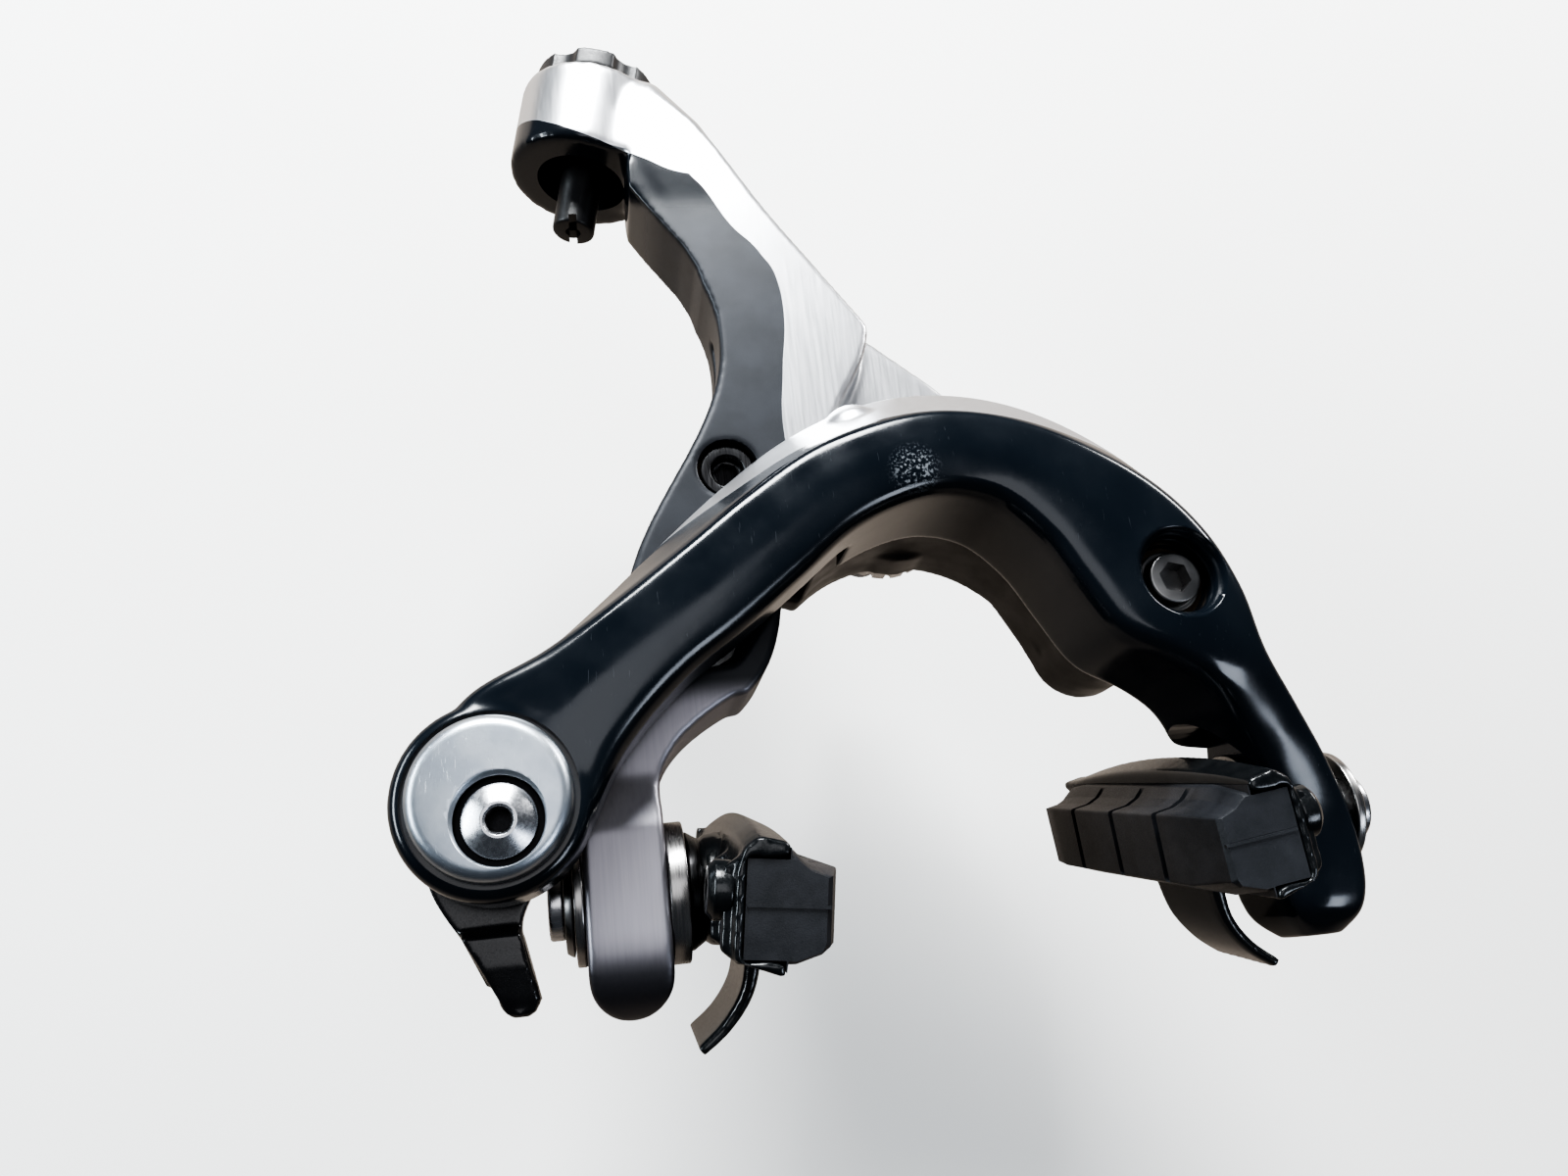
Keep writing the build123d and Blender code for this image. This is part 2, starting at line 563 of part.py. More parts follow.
# ---- barrel adjuster -----------------------------------------------------
def make_adjuster():
    flange_t = 1.0
    thread_r = 3.45
    tip_r, tip_low, tip_top = 2.5, -7.0, 4.4
    barrel_top = KNOB_BASE + KNOB_T
    with BuildPart() as insert:
        with BuildSketch(ring_level(HOUSING_SEAT - flange_t)):
            Circle(5.1)
        extrude(amount=flange_t - 0.02)
        with BuildSketch(ring_level(HOUSING_SEAT - flange_t)):
            Circle(4.18)
        extrude(amount=RING_H - HOUSING_SEAT + flange_t)
        with BuildSketch(ring_level(HOUSING_SEAT - flange_t)):
            Circle(thread_r + FIT)
        extrude(amount=RING_H, mode=Mode.SUBTRACT)
    save(insert.part, "adjuster_insert")
    with BuildPart() as barrel:
        with BuildSketch(ring_level(tip_low)):
            Circle(tip_r)
        extrude(amount=tip_top - tip_low)
        with BuildSketch(ring_level(tip_top)):
            Circle(thread_r)
        extrude(amount=barrel_top - tip_top)
        with BuildSketch(ring_level(barrel_top)):
            Circle(HOUSING_R)
        extrude(amount=-HOUSING_DEPTH, mode=Mode.SUBTRACT)
        with BuildSketch(ring_level(tip_low)):
            Circle(CABLE_R)
        extrude(amount=barrel_top - tip_low, mode=Mode.SUBTRACT)
    save(barrel.part, "adjuster_barrel")
    lobes = 6
    with BuildPart() as knob:
        with BuildSketch(ring_level(KNOB_BASE)):
            Circle(7.4)
            with PolarLocations(9.0, lobes):
                Circle(2.4, mode=Mode.SUBTRACT)
            Circle(thread_r + FIT, mode=Mode.SUBTRACT)
        extrude(amount=KNOB_T)
        with BuildSketch(ring_level(KNOB_BASE)):
            Circle(5.35)
            Circle(4.35, mode=Mode.SUBTRACT)
        extrude(amount=0.6, mode=Mode.SUBTRACT)
    save(knob.part, "adjuster_knob")
    seal = ring_level(KNOB_BASE + 0.1)
    with BuildPart() as o_ring:
        with BuildSketch(Plane(origin=seal.origin, x_dir=seal.x_dir, z_dir=(0, 1, 0))):
            with Locations((4.85, 0)):
                Circle(0.44)
        revolve(axis=Axis(seal.origin, seal.z_dir), revolution_arc=360)
    save(o_ring.part, "adjuster_o_ring")


# ---- brake shoes ---------------------------------------------------------
def make_shoe(name, inner_x, z, side):
    """Holder, pad and pad screw; side is +1 when the rim lies towards +X."""
    pitch, lean = radians(SHOE_PITCH), radians(SHOE_LEAN)
    to_rim = Vector(side * cos(lean), sin(lean) * sin(pitch), -sin(lean) * cos(pitch))
    back = Vector(0, cos(pitch), sin(pitch))
    hub = Vector(inner_x + side * SHOE_HUB, -FOOT_MID, z)

    def along(u):
        """Plane at u from the foot's inner face; local x runs back along the pad."""
        return Plane(origin=hub + to_rim * (u - SHOE_HUB), x_dir=back, z_dir=to_rim)

    def section(x):
        """Cross-section plane at x along the pad, facing the viewer, with local y up."""
        return Plane(origin=hub - to_rim * SHOE_HUB + back * x, x_dir=to_rim * side, z_dir=-back)

    def mirrored(points):
        return [(side * u, v) for u, v in points]

    length = SHOE_FAR - SHOE_NEAR
    middle = (SHOE_FAR + SHOE_NEAR) / 2
    spine, lip, face = 4.7, 9.2, 14.5
    screw_at = (SHOE_NEAR + 2.9, side * 1.3)
    with BuildPart() as holder:
        with BuildSketch(along(spine)):
            with Locations((middle, 0)):
                RectangleRounded(length, 11.2, 1.2)
        extrude(amount=lip - spine)
        with BuildSketch(along(spine + 0.8)):
            with Locations((middle - 2, 0)):
                Rectangle(length - 1.0, 9.0)
        extrude(amount=2.6, mode=Mode.SUBTRACT)
        with BuildSketch(along(spine + 3.2)):
            with Locations((middle - 2, 0)):
                Rectangle(length - 1.0, 7.8)
        extrude(amount=3, mode=Mode.SUBTRACT)
        with BuildSketch(section(-6)):
            with BuildLine():
                Spline(*mirrored([(8.0, -5.2), (7.4, -8.6), (5.6, -11.8), (3.2, -14.0)]))
                Line(*mirrored([(3.2, -14.0), (4.2, -15.0)]))
                Spline(*mirrored([(4.2, -15.0), (6.8, -12.6), (8.6, -9.2), (9.2, -5.2)]))
                Line(*mirrored([(9.2, -5.2), (8.0, -5.2)]))
            make_face()
        extrude(amount=-13)
        with BuildSketch(across(inner_x, FOOT_MID, z, side)):
            Circle(2.52)
        extrude(amount=12, mode=Mode.SUBTRACT)
        with BuildSketch(along(0)):
            with Locations(screw_at):
                Circle(1.3)
        extrude(amount=12, mode=Mode.SUBTRACT)
    save(holder.part, f"{name}_shoe_holder")
    with BuildPart() as pad:
        with BuildSketch(section(SHOE_NEAR)):
            with BuildLine():
                Polyline(*mirrored([(5.55, -4.4), (5.55, 4.4), (7.8, 4.4), (7.8, 3.8), (9.25, 3.8), (9.25, 5.3),
                                    (11.4, 5.0), (face, 3.5), (face, -3.5), (11.4, -5.0), (9.25, -5.3),
                                    (9.25, -3.8), (7.8, -3.8), (7.8, -4.4), (5.55, -4.4)]))
            make_face()
        extrude(amount=-(length - 3.2))
        with BuildSketch(along(face - 1.4)):
            with Locations(*[Location((x, 0), 4 * side) for x in (-9, 1.5, 12)]):
                Rectangle(1.1, 14)
        extrude(amount=3, mode=Mode.SUBTRACT)
        with BuildSketch(along(5.2)):
            with Locations(screw_at):
                Circle(1.3)
        extrude(amount=4.4, mode=Mode.SUBTRACT)
    save(pad.part, f"{name}_brake_pad")
    with BuildPart() as screw:
        with BuildSketch(along(spine - 2.3)):
            with Locations(screw_at):
                Circle(2.6)
        extrude(amount=2.28)
        with BuildSketch(along(spine - 0.02)):
            with Locations(screw_at):
                Circle(1.25)
        extrude(amount=4.6)
        with BuildSketch(along(spine - 2.3)):
            with Locations(screw_at):
                RegularPolygon(1.0, 6, major_radius=False)
        extrude(amount=1.2, mode=Mode.SUBTRACT)
    save(screw.part, f"{name}_pad_screw")


def make_shoe_fasteners(name, inner_x, outer_x, z, side):
    """Shoe bolt from outside, with dished washers that let the shoe be toed in."""
    thickness = abs(outer_x - inner_x)
    head, head_t, skin, shoulder = 3.5, 1.5, 0.05, 3.95

    def level(u):
        return across(inner_x + side * u, FOOT_MID, z, side)

    head_base = -(thickness + skin + 1.95)
    with BuildPart() as bolt:
        with BuildSketch(level(head_base - head_t)):
            Circle(head)
        extrude(amount=head_t)
        chamfer(bolt.faces().sort_by(Axis.X, reverse=side < 0)[0].edges(), 0.4)
        with BuildSketch(level(head_base)):
            Circle(SHOE_BOLT_R - 0.05)
        extrude(amount=shoulder - head_base)
        with BuildSketch(level(shoulder)):
            Circle(2.48)
        extrude(amount=1.1)
        with BuildSketch(level(head_base - head_t)):
            RegularPolygon(2.0, 6, major_radius=False)
        extrude(amount=2.2, mode=Mode.SUBTRACT)
    save(bolt.part, f"{name}_shoe_bolt")
    inner_rings = {
        "inner_dished_washer": (skin, 1.95, SHOE_WASHER_R, 0),
        "inner_domed_washer": (2.02, 1.85, 5.9, 32),
        "outer_dished_washer": (-(thickness + skin), -1.05, 6.2, 0),
        "outer_domed_washer": (-(thickness + skin + 1.07), -0.86, 5.3, 30),
    }
    for ring, (start, thick, radius, taper) in inner_rings.items():
        with BuildPart() as washer:
            with BuildSketch(level(start)):
                Circle(radius)
            extrude(amount=thick, taper=taper)
            with BuildSketch(level(start)):
                Circle(SHOE_BOLT_R + 0.02)
            extrude(amount=thick, mode=Mode.SUBTRACT)
        save(washer.part, f"{name}_{ring}")


def main():
    os.makedirs("parts", exist_ok=True)
    make_bridge()
    make_mounting()
    make_right_arm()
    make_left_arm()
    make_pivots()
    make_link()
    make_spring()
    make_quick_release()
    make_adjuster()
    for name, inner_x, outer_x, z, side in (("left", LEFT_FOOT_IN, LEFT_FOOT_OUT, LEFT_SHOE_Z, 1),
                                            ("right", RIGHT_FOOT_IN, RIGHT_FOOT_OUT, RIGHT_SHOE_Z, -1)):
        make_shoe(name, inner_x, z, side)
        make_shoe_fasteners(name, inner_x, outer_x, z, side)


main()
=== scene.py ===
import json
import math

import bmesh
import bpy
from mathutils import Matrix, Vector


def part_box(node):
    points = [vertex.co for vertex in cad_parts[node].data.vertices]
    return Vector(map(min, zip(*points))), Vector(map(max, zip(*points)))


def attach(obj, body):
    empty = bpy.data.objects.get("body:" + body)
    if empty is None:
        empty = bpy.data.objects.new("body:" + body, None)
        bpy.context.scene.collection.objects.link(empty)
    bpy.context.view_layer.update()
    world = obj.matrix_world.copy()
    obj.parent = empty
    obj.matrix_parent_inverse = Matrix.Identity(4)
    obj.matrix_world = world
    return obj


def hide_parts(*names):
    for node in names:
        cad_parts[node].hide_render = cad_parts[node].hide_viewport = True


# Rim brake caliper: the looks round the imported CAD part.
# Modelling functions work in millimetres in the frame of the CAD (X right, Y back, Z up); "depth" is -Y.
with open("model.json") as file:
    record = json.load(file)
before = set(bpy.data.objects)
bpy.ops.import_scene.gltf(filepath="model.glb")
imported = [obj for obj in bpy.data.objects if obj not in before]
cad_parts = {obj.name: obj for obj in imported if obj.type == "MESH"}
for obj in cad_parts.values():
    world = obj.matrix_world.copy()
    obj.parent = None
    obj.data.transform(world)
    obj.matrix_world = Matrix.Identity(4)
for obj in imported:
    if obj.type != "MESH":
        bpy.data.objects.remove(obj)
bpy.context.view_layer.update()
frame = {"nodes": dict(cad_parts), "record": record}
MM = 0.001


# ---- places read from the frame ------------------------------------------
def box_mm(node):
    low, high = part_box(node)
    return low / MM, high / MM


def middle(node):
    low, high = box_mm(node)
    return (low + high) / 2


DISC = middle("cam_disc")
ANCHOR = middle("anchor_bolt")
RIGHT_PIVOT = middle("right_pivot_bolt")
LEFT_PIVOT = middle("left_pivot_bolt")
RING_TILT = math.radians(11.3)
RING_AXIS = Vector((math.sin(RING_TILT), 0, math.cos(RING_TILT)))
RING_HEIGHT, HOUSING_SEAT = 11.2, 6.4
RING_BASE = middle("adjuster_o_ring") - RING_AXIS * (RING_HEIGHT + 0.6)
SHOE_Y, SLOT_Z = middle("left_shoe_bolt").y, -44.0
LEFT_FOOT = box_mm("left_inner_dished_washer")[0].x - 0.05
RIGHT_FOOT = box_mm("right_inner_dished_washer")[1].x + 0.05


# ---- mesh helpers ---------------------------------------------------------
def add_object(name, mesh):
    made = bpy.data.objects.new(name, mesh)
    bpy.context.scene.collection.objects.link(made)
    return made


def from_bmesh(name, shape):
    """An object made of the shape, which is freed."""
    mesh = bpy.data.meshes.new(name)
    shape.to_mesh(mesh)
    shape.free()
    return add_object(name, mesh)


def baked(piece):
    """Apply the piece's modifiers to its mesh."""
    graph = bpy.context.evaluated_depsgraph_get()
    mesh = bpy.data.meshes.new_from_object(piece.evaluated_get(graph))
    piece.modifiers.clear()
    old = piece.data
    piece.data = mesh
    mesh.name = piece.name
    bpy.data.meshes.remove(old)
    return piece


def cad_copy(name, *nodes):
    """A millimetre copy of CAD nodes as one object."""
    joined = bmesh.new()
    for node in nodes:
        joined.from_mesh(frame["nodes"][node].data)
    bmesh.ops.transform(joined, matrix=Matrix.Scale(1 / MM, 4), verts=joined.verts)
    bmesh.ops.remove_doubles(joined, verts=joined.verts, dist=0.002)
    return from_bmesh(name, joined)


def remeshed(piece, voxel, passes):
    """Rebuild the surface on an even grid, then relax it so that its edges are rounded."""
    grid = piece.modifiers.new("grid", "REMESH")
    grid.mode = "VOXEL"
    grid.voxel_size = voxel
    relax = piece.modifiers.new("relax", "SMOOTH")
    relax.factor = 0.5
    relax.iterations = passes
    return baked(piece)


def combined(piece, tool, operation):
    step = piece.modifiers.new("step", "BOOLEAN")
    step.operation = operation
    step.object = tool
    step.solver = "EXACT"
    baked(piece)
    bpy.data.objects.remove(tool)
    return piece


def filleted(points, radius, steps=4, closed=False):
    """The outline with each corner replaced by an arc; radius is one number, or one for each corner."""
    count = len(points)
    radii = radius if isinstance(radius, (list, tuple)) else [radius] * count
    result = []
    for i, here in enumerate(points):
        here = Vector(here)
        if not closed and i in (0, count - 1):
            result.append(here)
            continue
        before, after = Vector(points[i - 1]) - here, Vector(points[(i + 1) % count]) - here
        angle = before.angle(after)
        reach = min(radii[i] / math.tan(max(angle, 0.2) / 2), before.length * 0.45, after.length * 0.45)
        start, end = here + before.normalized() * reach, here + after.normalized() * reach
        for k in range(steps + 1):
            t = k / steps
            result.append(start * (1 - t) ** 2 + here * 2 * t * (1 - t) + end * t ** 2)
    return result


def lathe(name, centre, axis, profile, steps=96):
    """Solid of revolution; the profile is (radius, height along the axis from the centre)."""
    axis = Vector(axis).normalized()
    side = axis.orthogonal().normalized()
    other = axis.cross(side)
    shape = bmesh.new()
    rings = []
    for radius, height in profile:
        base = Vector(centre) + axis * height
        if radius < 1e-6:
            rings.append([shape.verts.new(base)])
            continue
        ring = []
        for k in range(steps):
            turn = math.tau * k / steps
            ring.append(shape.verts.new(base + (side * math.cos(turn) + other * math.sin(turn)) * radius))
        rings.append(ring)
    closed = len(rings[0]) > 1
    pairs = list(zip(rings, rings[1:])) + ([(rings[-1], rings[0])] if closed else [])
    for first, second in pairs:
        for k in range(steps):
            n = (k + 1) % steps
            corners = [first[k % len(first)], first[n % len(first)],
                       second[n % len(second)], second[k % len(second)]]
            unique = list(dict.fromkeys(corners))
            if len(unique) > 2:
                shape.faces.new(unique)
    bmesh.ops.recalc_face_normals(shape, faces=shape.faces)
    return from_bmesh(name, shape)


def prism(name, outline, place, direction):
    """Outline points are (a, b) on the plane that place() maps to space; it is pushed along direction."""
    shape = bmesh.new()
    push = Vector(direction)
    near = [shape.verts.new(place(*point)) for point in outline]
    far = [shape.verts.new(v.co + push) for v in near]
    shape.faces.new(near)
    shape.faces.new(far)
    for k in range(len(near)):
        n = (k + 1) % len(near)
        shape.faces.new((near[k], near[n], far[n], far[k]))
    bmesh.ops.recalc_face_normals(shape, faces=shape.faces)
    return from_bmesh(name, shape)


def hexagon(across_flats):
    corner = across_flats / math.sqrt(3)
    turns = [math.tau * k / 6 for k in range(6)]
    return [(corner * math.cos(angle), corner * math.sin(angle)) for angle in turns]


def drill(piece, centre, radius, start, end):
    """Cut a round hole along the depth axis."""
    tool = lathe("tool", (centre[0], -start, centre[2]), (0, -1, 0),
                 [(0, 0), (radius, 0), (radius, end - start), (0, end - start)])
    return combined(piece, tool, "DIFFERENCE")


def swept(name, sections):
    """Closed loops of equal length joined one after another, with capped ends."""
    shape = bmesh.new()
    loops = [[shape.verts.new(p) for p in section] for section in sections]
    count = len(loops[0])
    for first, second in zip(loops, loops[1:]):
        for k in range(count):
            n = (k + 1) % count
            shape.faces.new((first[k], first[n], second[n], second[k]))
    shape.faces.new(loops[0])
    shape.faces.new(loops[-1])
    bmesh.ops.recalc_face_normals(shape, faces=shape.faces)
    return from_bmesh(name, shape)


def placed(piece, body, nodes, slot, sharp):
    """Bring a millimetre piece to metres, give it its slot's finish, and hand it to its body."""
    piece.data.transform(Matrix.Scale(MM, 4))
    piece.data.materials.clear()
    piece.data.materials.append(FINISHES[slot])
    piece.data.polygons.foreach_set("use_smooth", [True] * len(piece.data.polygons))
    piece.data.set_sharp_from_angle(angle=math.radians(sharp))
    piece.data.update()
    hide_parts(*nodes)
    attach(piece, body)
    return piece


# ---- materials ------------------------------------------------------------
class Finish:
    """A principled material built from nodes; its positions are in the frame of the CAD, in millimetres."""

    def __init__(self, name, colour, roughness, metallic=0.0):
        self.material = bpy.data.materials.new(name)
        self.material.use_nodes = True
        self.tree = self.material.node_tree
        self.shader = self.tree.nodes["Principled BSDF"]
        self.set("Base Color", (*colour, 1))
        self.set("Roughness", roughness)
        self.set("Metallic", metallic)
        coords = self.node("ShaderNodeTexCoord")
        scaled = self.node("ShaderNodeVectorMath", {0: coords.outputs["Object"]}, operation="SCALE")
        scaled.inputs["Scale"].default_value = 1 / MM
        self.position = scaled.outputs[0]
        apart = self.node("ShaderNodeSeparateXYZ", {0: self.position})
        self.x, self.y, self.z = apart.outputs

    def node(self, kind, inputs=None, **settings):
        made = self.tree.nodes.new(kind)
        for key, value in settings.items():
            setattr(made, key, value)
        for key, value in (inputs or {}).items():
            if isinstance(value, bpy.types.NodeSocket):
                self.tree.links.new(value, made.inputs[key])
            else:
                made.inputs[key].default_value = value
        return made

    def set(self, socket, value):
        if isinstance(value, bpy.types.NodeSocket):
            self.tree.links.new(value, self.shader.inputs[socket])
        else:
            self.shader.inputs[socket].default_value = value

    def math(self, operation, *values):
        return self.node("ShaderNodeMath", dict(enumerate(values)), operation=operation).outputs[0]

    def from_point(self, x, y, z):
        """Distance from a point, in mm."""
        away = self.node("ShaderNodeVectorMath", {0: self.position, 1: (x, y, z)}, operation="DISTANCE")
        return away.outputs["Value"]

    def from_axis(self, centre):
        """Distance from a line along Y through the centre, in mm."""
        flat = self.node("ShaderNodeCombineXYZ", {0: self.x, 2: self.z})
        away = self.node("ShaderNodeVectorMath", {0: flat.outputs[0], 1: (centre.x, 0, centre.z)},
                         operation="DISTANCE")
        return away.outputs["Value"]

    def noise(self, scale, detail=3.0, stretch=(1, 1, 1), turn=(0, 0, 0)):
        """Noise of about 1/scale mm; stretch squeezes the pattern along each axis after turning."""
        mapped = self.node("ShaderNodeMapping", {"Vector": self.position, "Rotation": turn, "Scale": stretch})
        inputs = {"Vector": mapped.outputs[0], "Scale": scale, "Detail": detail}
        made = self.node("ShaderNodeTexNoise", inputs)
        return made.outputs["Fac"]

    def span(self, value, low, high, to_low=0.0, to_high=1.0):
        made = self.node("ShaderNodeMapRange", {0: value, 1: low, 2: high, 3: to_low, 4: to_high})
        made.interpolation_type = "SMOOTHSTEP"
        return made.outputs[0]

    def colours(self, amount, first, second):
        made = self.node("ShaderNodeMix", data_type="RGBA")
        made.clamp_factor = True
        for socket, value in zip((0, 6, 7), (amount, first, second)):
            if isinstance(value, bpy.types.NodeSocket):
                self.tree.links.new(value, made.inputs[socket])
            elif socket:
                made.inputs[socket].default_value = (*value, 1)
            else:
                made.inputs[socket].default_value = value
        return made.outputs[2]

    def curve(self, value, low, high, points):
        """A function of value over low..high, drawn through the given (input, output) points."""
        unit = self.span(value, low, high)
        unit.node.interpolation_type = "LINEAR"
        drawn = self.node("ShaderNodeFloatCurve", {1: unit})
        outputs = [p[1] for p in points]
        base, top = min(outputs), max(outputs)
        line = drawn.mapping.curves[0]
        scaled = [((a - low) / (high - low), (b - base) / (top - base)) for a, b in points]
        while len(line.points) < len(scaled):
            line.points.new(0.5, 0.5)
        for point, where in zip(line.points, scaled):
            point.location = where
            point.handle_type = "AUTO"
        drawn.mapping.update()
        return self.math("MULTIPLY_ADD", drawn.outputs[0], top - base, base)

    def bumps(self, *layers):
        """Each layer is (height, depth in millimetres)."""
        normal = None
        for height, depth in layers:
            made = self.node("ShaderNodeBump", {"Height": height, "Strength": 1.0, "Distance": depth * MM})
            if normal:
                self.tree.links.new(normal, made.inputs["Normal"])
            normal = made.outputs["Normal"]
        self.set("Normal", normal)

    def scratches(self, density=0.72, scale=0.5):
        """Fine random lines in two directions, 0 off a line and up to 1 on it."""
        lines = None
        for turn in ((0.2, 0.9, 0.3), (0.9, -0.7, 1.2), (0.4, 2.1, -0.6)):
            streak = self.noise(scale, 2.0, stretch=(14, 14, 0.7), turn=turn)
            where = self.noise(scale * 0.35, 1.0, turn=turn)
            thin = self.span(streak, density, density + 0.05)
            thin = self.math("MULTIPLY", thin, self.span(where, 0.52, 0.6))
            lines = thin if lines is None else self.math("MAXIMUM", lines, thin)
        return lines


def arch_paint():
    """Near-black navy gloss with a bare satin band along the crest."""
    made = Finish("arch_paint", (0.006, 0.009, 0.013), 0.16)
    normal = made.node("ShaderNodeTexCoord").outputs["Normal"]
    up = made.node("ShaderNodeSeparateXYZ", {0: normal}).outputs[2]
    border = made.curve(made.x, -40, 24, [(-40, -23), (-30, -27.4), (-18, -31.6), (0, -33.6), (10, -33.2),
                                          (18, -30.5), (24, -26)])
    behind = made.span(made.math("SUBTRACT", made.y, border), 0.0, 0.25)
    band = made.math("MULTIPLY", behind, made.span(up, 0.25, 0.4))
    band = made.math("MULTIPLY", band, made.span(made.x, 24, 19))
    band = made.math("MULTIPLY", band, made.span(made.x, -36, -33))
    dome = made.span(made.from_point(-8.4, -27.6, 3.0), 5.0, 4.4)
    band = made.math("MAXIMUM", band, made.math("MULTIPLY", dome, behind))
    speckle = made.noise(3.2, 6.0)
    reach = made.span(made.from_point(-4.5, -34.4, -7.0), 3.2, 0.8)
    scuff = made.math("MULTIPLY", reach, made.span(speckle, 0.50, 0.62))
    lines = made.scratches(0.70, 0.45)
    wear = made.math("MAXIMUM", scuff, made.math("MULTIPLY", lines, 0.12))
    haze = made.noise(0.12, 4.0)
    paint = made.colours(haze, (0.003, 0.005, 0.008), (0.006, 0.009, 0.013))
    paint = made.colours(made.math("MULTIPLY", wear, 0.55), paint, (0.24, 0.26, 0.28))
    grain = made.noise(9.0, 3.0, stretch=(0.12, 1, 1))
    silver = made.colours(grain, (0.42, 0.43, 0.45), (0.60, 0.61, 0.63))
    made.set("Base Color", made.colours(band, paint, silver))
    gloss = made.span(haze, 0.3, 0.7, 0.12, 0.22)
    gloss = made.math("ADD", gloss, made.math("MULTIPLY", wear, 0.3))
    satin = made.span(grain, 0.3, 0.7, 0.30, 0.40)
    mix = made.node("ShaderNodeMix", {0: band, 2: gloss, 3: satin})
    made.set("Roughness", mix.outputs[0])
    made.set("Metallic", made.math("MULTIPLY", band, 0.95))
    made.bumps((made.noise(0.5, 2.0), 0.008), (made.math("SUBTRACT", 1.0, scuff), 0.008),
               (made.math("MULTIPLY", grain, band), 0.0004))
    return made.material


def arm_satin():
    """Dark blue-grey anodising and brushed silver, with a sharp line between them; bare metal at the foot,
    with a painted dark reflection towards its lower end.
    """
    made = Finish("arm_satin", (0.03, 0.036, 0.045), 0.4)
    line_x = made.curve(made.z, -14, 40, [(-14, -13), (2.5, -15.5), (9.9, -14.8), (16.8, -13.9),
                                          (20.8, -14.1), (24.9, -15.8), (29, -19.0), (34, -21.7), (35.7, -23),
                                          (40, -25)])
    line_z = made.curve(made.x, -48, -22, [(-48, 44.6), (-41, 44.0), (-38.7, 43.0), (-36.4, 41.8),
                                           (-32.3, 40.0), (-28.2, 37.9), (-23, 35.7), (-22, 35.7)])
    right = made.span(made.math("SUBTRACT", made.x, line_x), 0.0, 0.12)
    deeper = made.math("MULTIPLY", made.math("ADD", made.y, 24.0), 0.4)
    above = made.span(made.math("SUBTRACT", made.z, made.math("ADD", line_z, deeper)), 0.0, 0.12)
    silver = made.math("MAXIMUM", right, above)
    silver = made.math("MULTIPLY", silver, made.span(made.z, -16, -12))
    foot = made.span(made.z, -24.5, -27.5)
    ring = made.math("MULTIPLY", made.span(made.z, 28, 34), made.math("SUBTRACT", 1.0, silver))
    fine = made.noise(14.0, 2.0)
    brushed = made.noise(3.0, 2.0, stretch=(1, 1, 0.04), turn=(0, -0.55, 0))
    cloud = made.noise(0.25, 4.0)
    dark = made.colours(made.span(cloud, 0.3, 0.7), (0.011, 0.0125, 0.016), (0.017, 0.019, 0.024))
    dark = made.colours(made.span(fine, 0.4, 0.8, 0, 0.2), dark, (0.05, 0.057, 0.066))
    dark = made.colours(ring, dark, (0.006, 0.008, 0.011))
    bright = made.colours(brushed, (0.60, 0.61, 0.63), (0.66, 0.66, 0.67))
    bare = made.colours(brushed, (0.27, 0.263, 0.29), (0.34, 0.33, 0.36))
    # painted dark reflection: the bare foot is darkened towards its lower end
    bare = made.colours(made.span(made.z, -48, -53, 0, 0.8), bare, (0.03, 0.03, 0.034))
    colour = made.colours(silver, dark, bright)
    made.set("Base Color", made.colours(foot, colour, bare))
    metal = made.math("MAXIMUM", made.math("MULTIPLY", silver, 0.95), made.math("MULTIPLY", foot, 0.9))
    made.set("Metallic", made.math("MAXIMUM", metal, made.span(ring, 0, 1, 0.35, 0.0)))
    rough = made.span(brushed, 0.3, 0.7, 0.30, 0.35)
    rough = made.node("ShaderNodeMix", {0: foot, 2: rough, 3: 0.44}).outputs[0]
    dull = made.node("ShaderNodeMix", {0: ring, 2: made.span(fine, 0.3, 0.7, 0.36, 0.46), 3: 0.16}).outputs[0]
    mix = made.node("ShaderNodeMix", {0: made.math("MAXIMUM", silver, foot), 2: dull, 3: rough})
    made.set("Roughness", mix.outputs[0])
    made.bumps((fine, 0.0008), (brushed, 0.0001), (silver, 0.02), (made.noise(0.4, 2.0), 0.012))
    return made.material


def bridge_dark():
    made = Finish("bridge_dark", (0.02, 0.018, 0.017), 0.42, 0.2)
    cloud, fine = made.noise(0.3, 4.0), made.noise(10.0, 3.0)
    colour = made.colours(made.span(cloud, 0.3, 0.7), (0.014, 0.013, 0.013), (0.034, 0.030, 0.027))
    made.set("Base Color", made.colours(made.span(fine, 0.55, 0.8, 0, 0.5), colour, (0.09, 0.08, 0.07)))
    made.set("Roughness", made.span(cloud, 0.3, 0.7, 0.34, 0.5))
    made.bumps((fine, 0.006), (cloud, 0.03))
    return made.material


def turned_metal(name, low, high, rough_low, rough_high, pitch=5.0, lie=(0.05, 1, 0.05)):
    """Machined metal with fine turning marks, small in the directions of lie, and a little tarnish."""
    made = Finish(name, low, rough_low, 1.0)
    marks = made.noise(pitch, 2.0, stretch=lie)
    cloud = made.noise(0.3, 3.0)
    colour = made.colours(marks, low, high)
    tarnish = tuple(c * 0.4 for c in low)
    made.set("Base Color", made.colours(made.span(cloud, 0.58, 0.8, 0, 0.35), colour, tarnish))
    made.set("Roughness", made.span(marks, 0.3, 0.7, rough_low, rough_high))
    made.bumps((marks, 0.0006), (made.scratches(0.74, 0.9), -0.001))
    return made.material


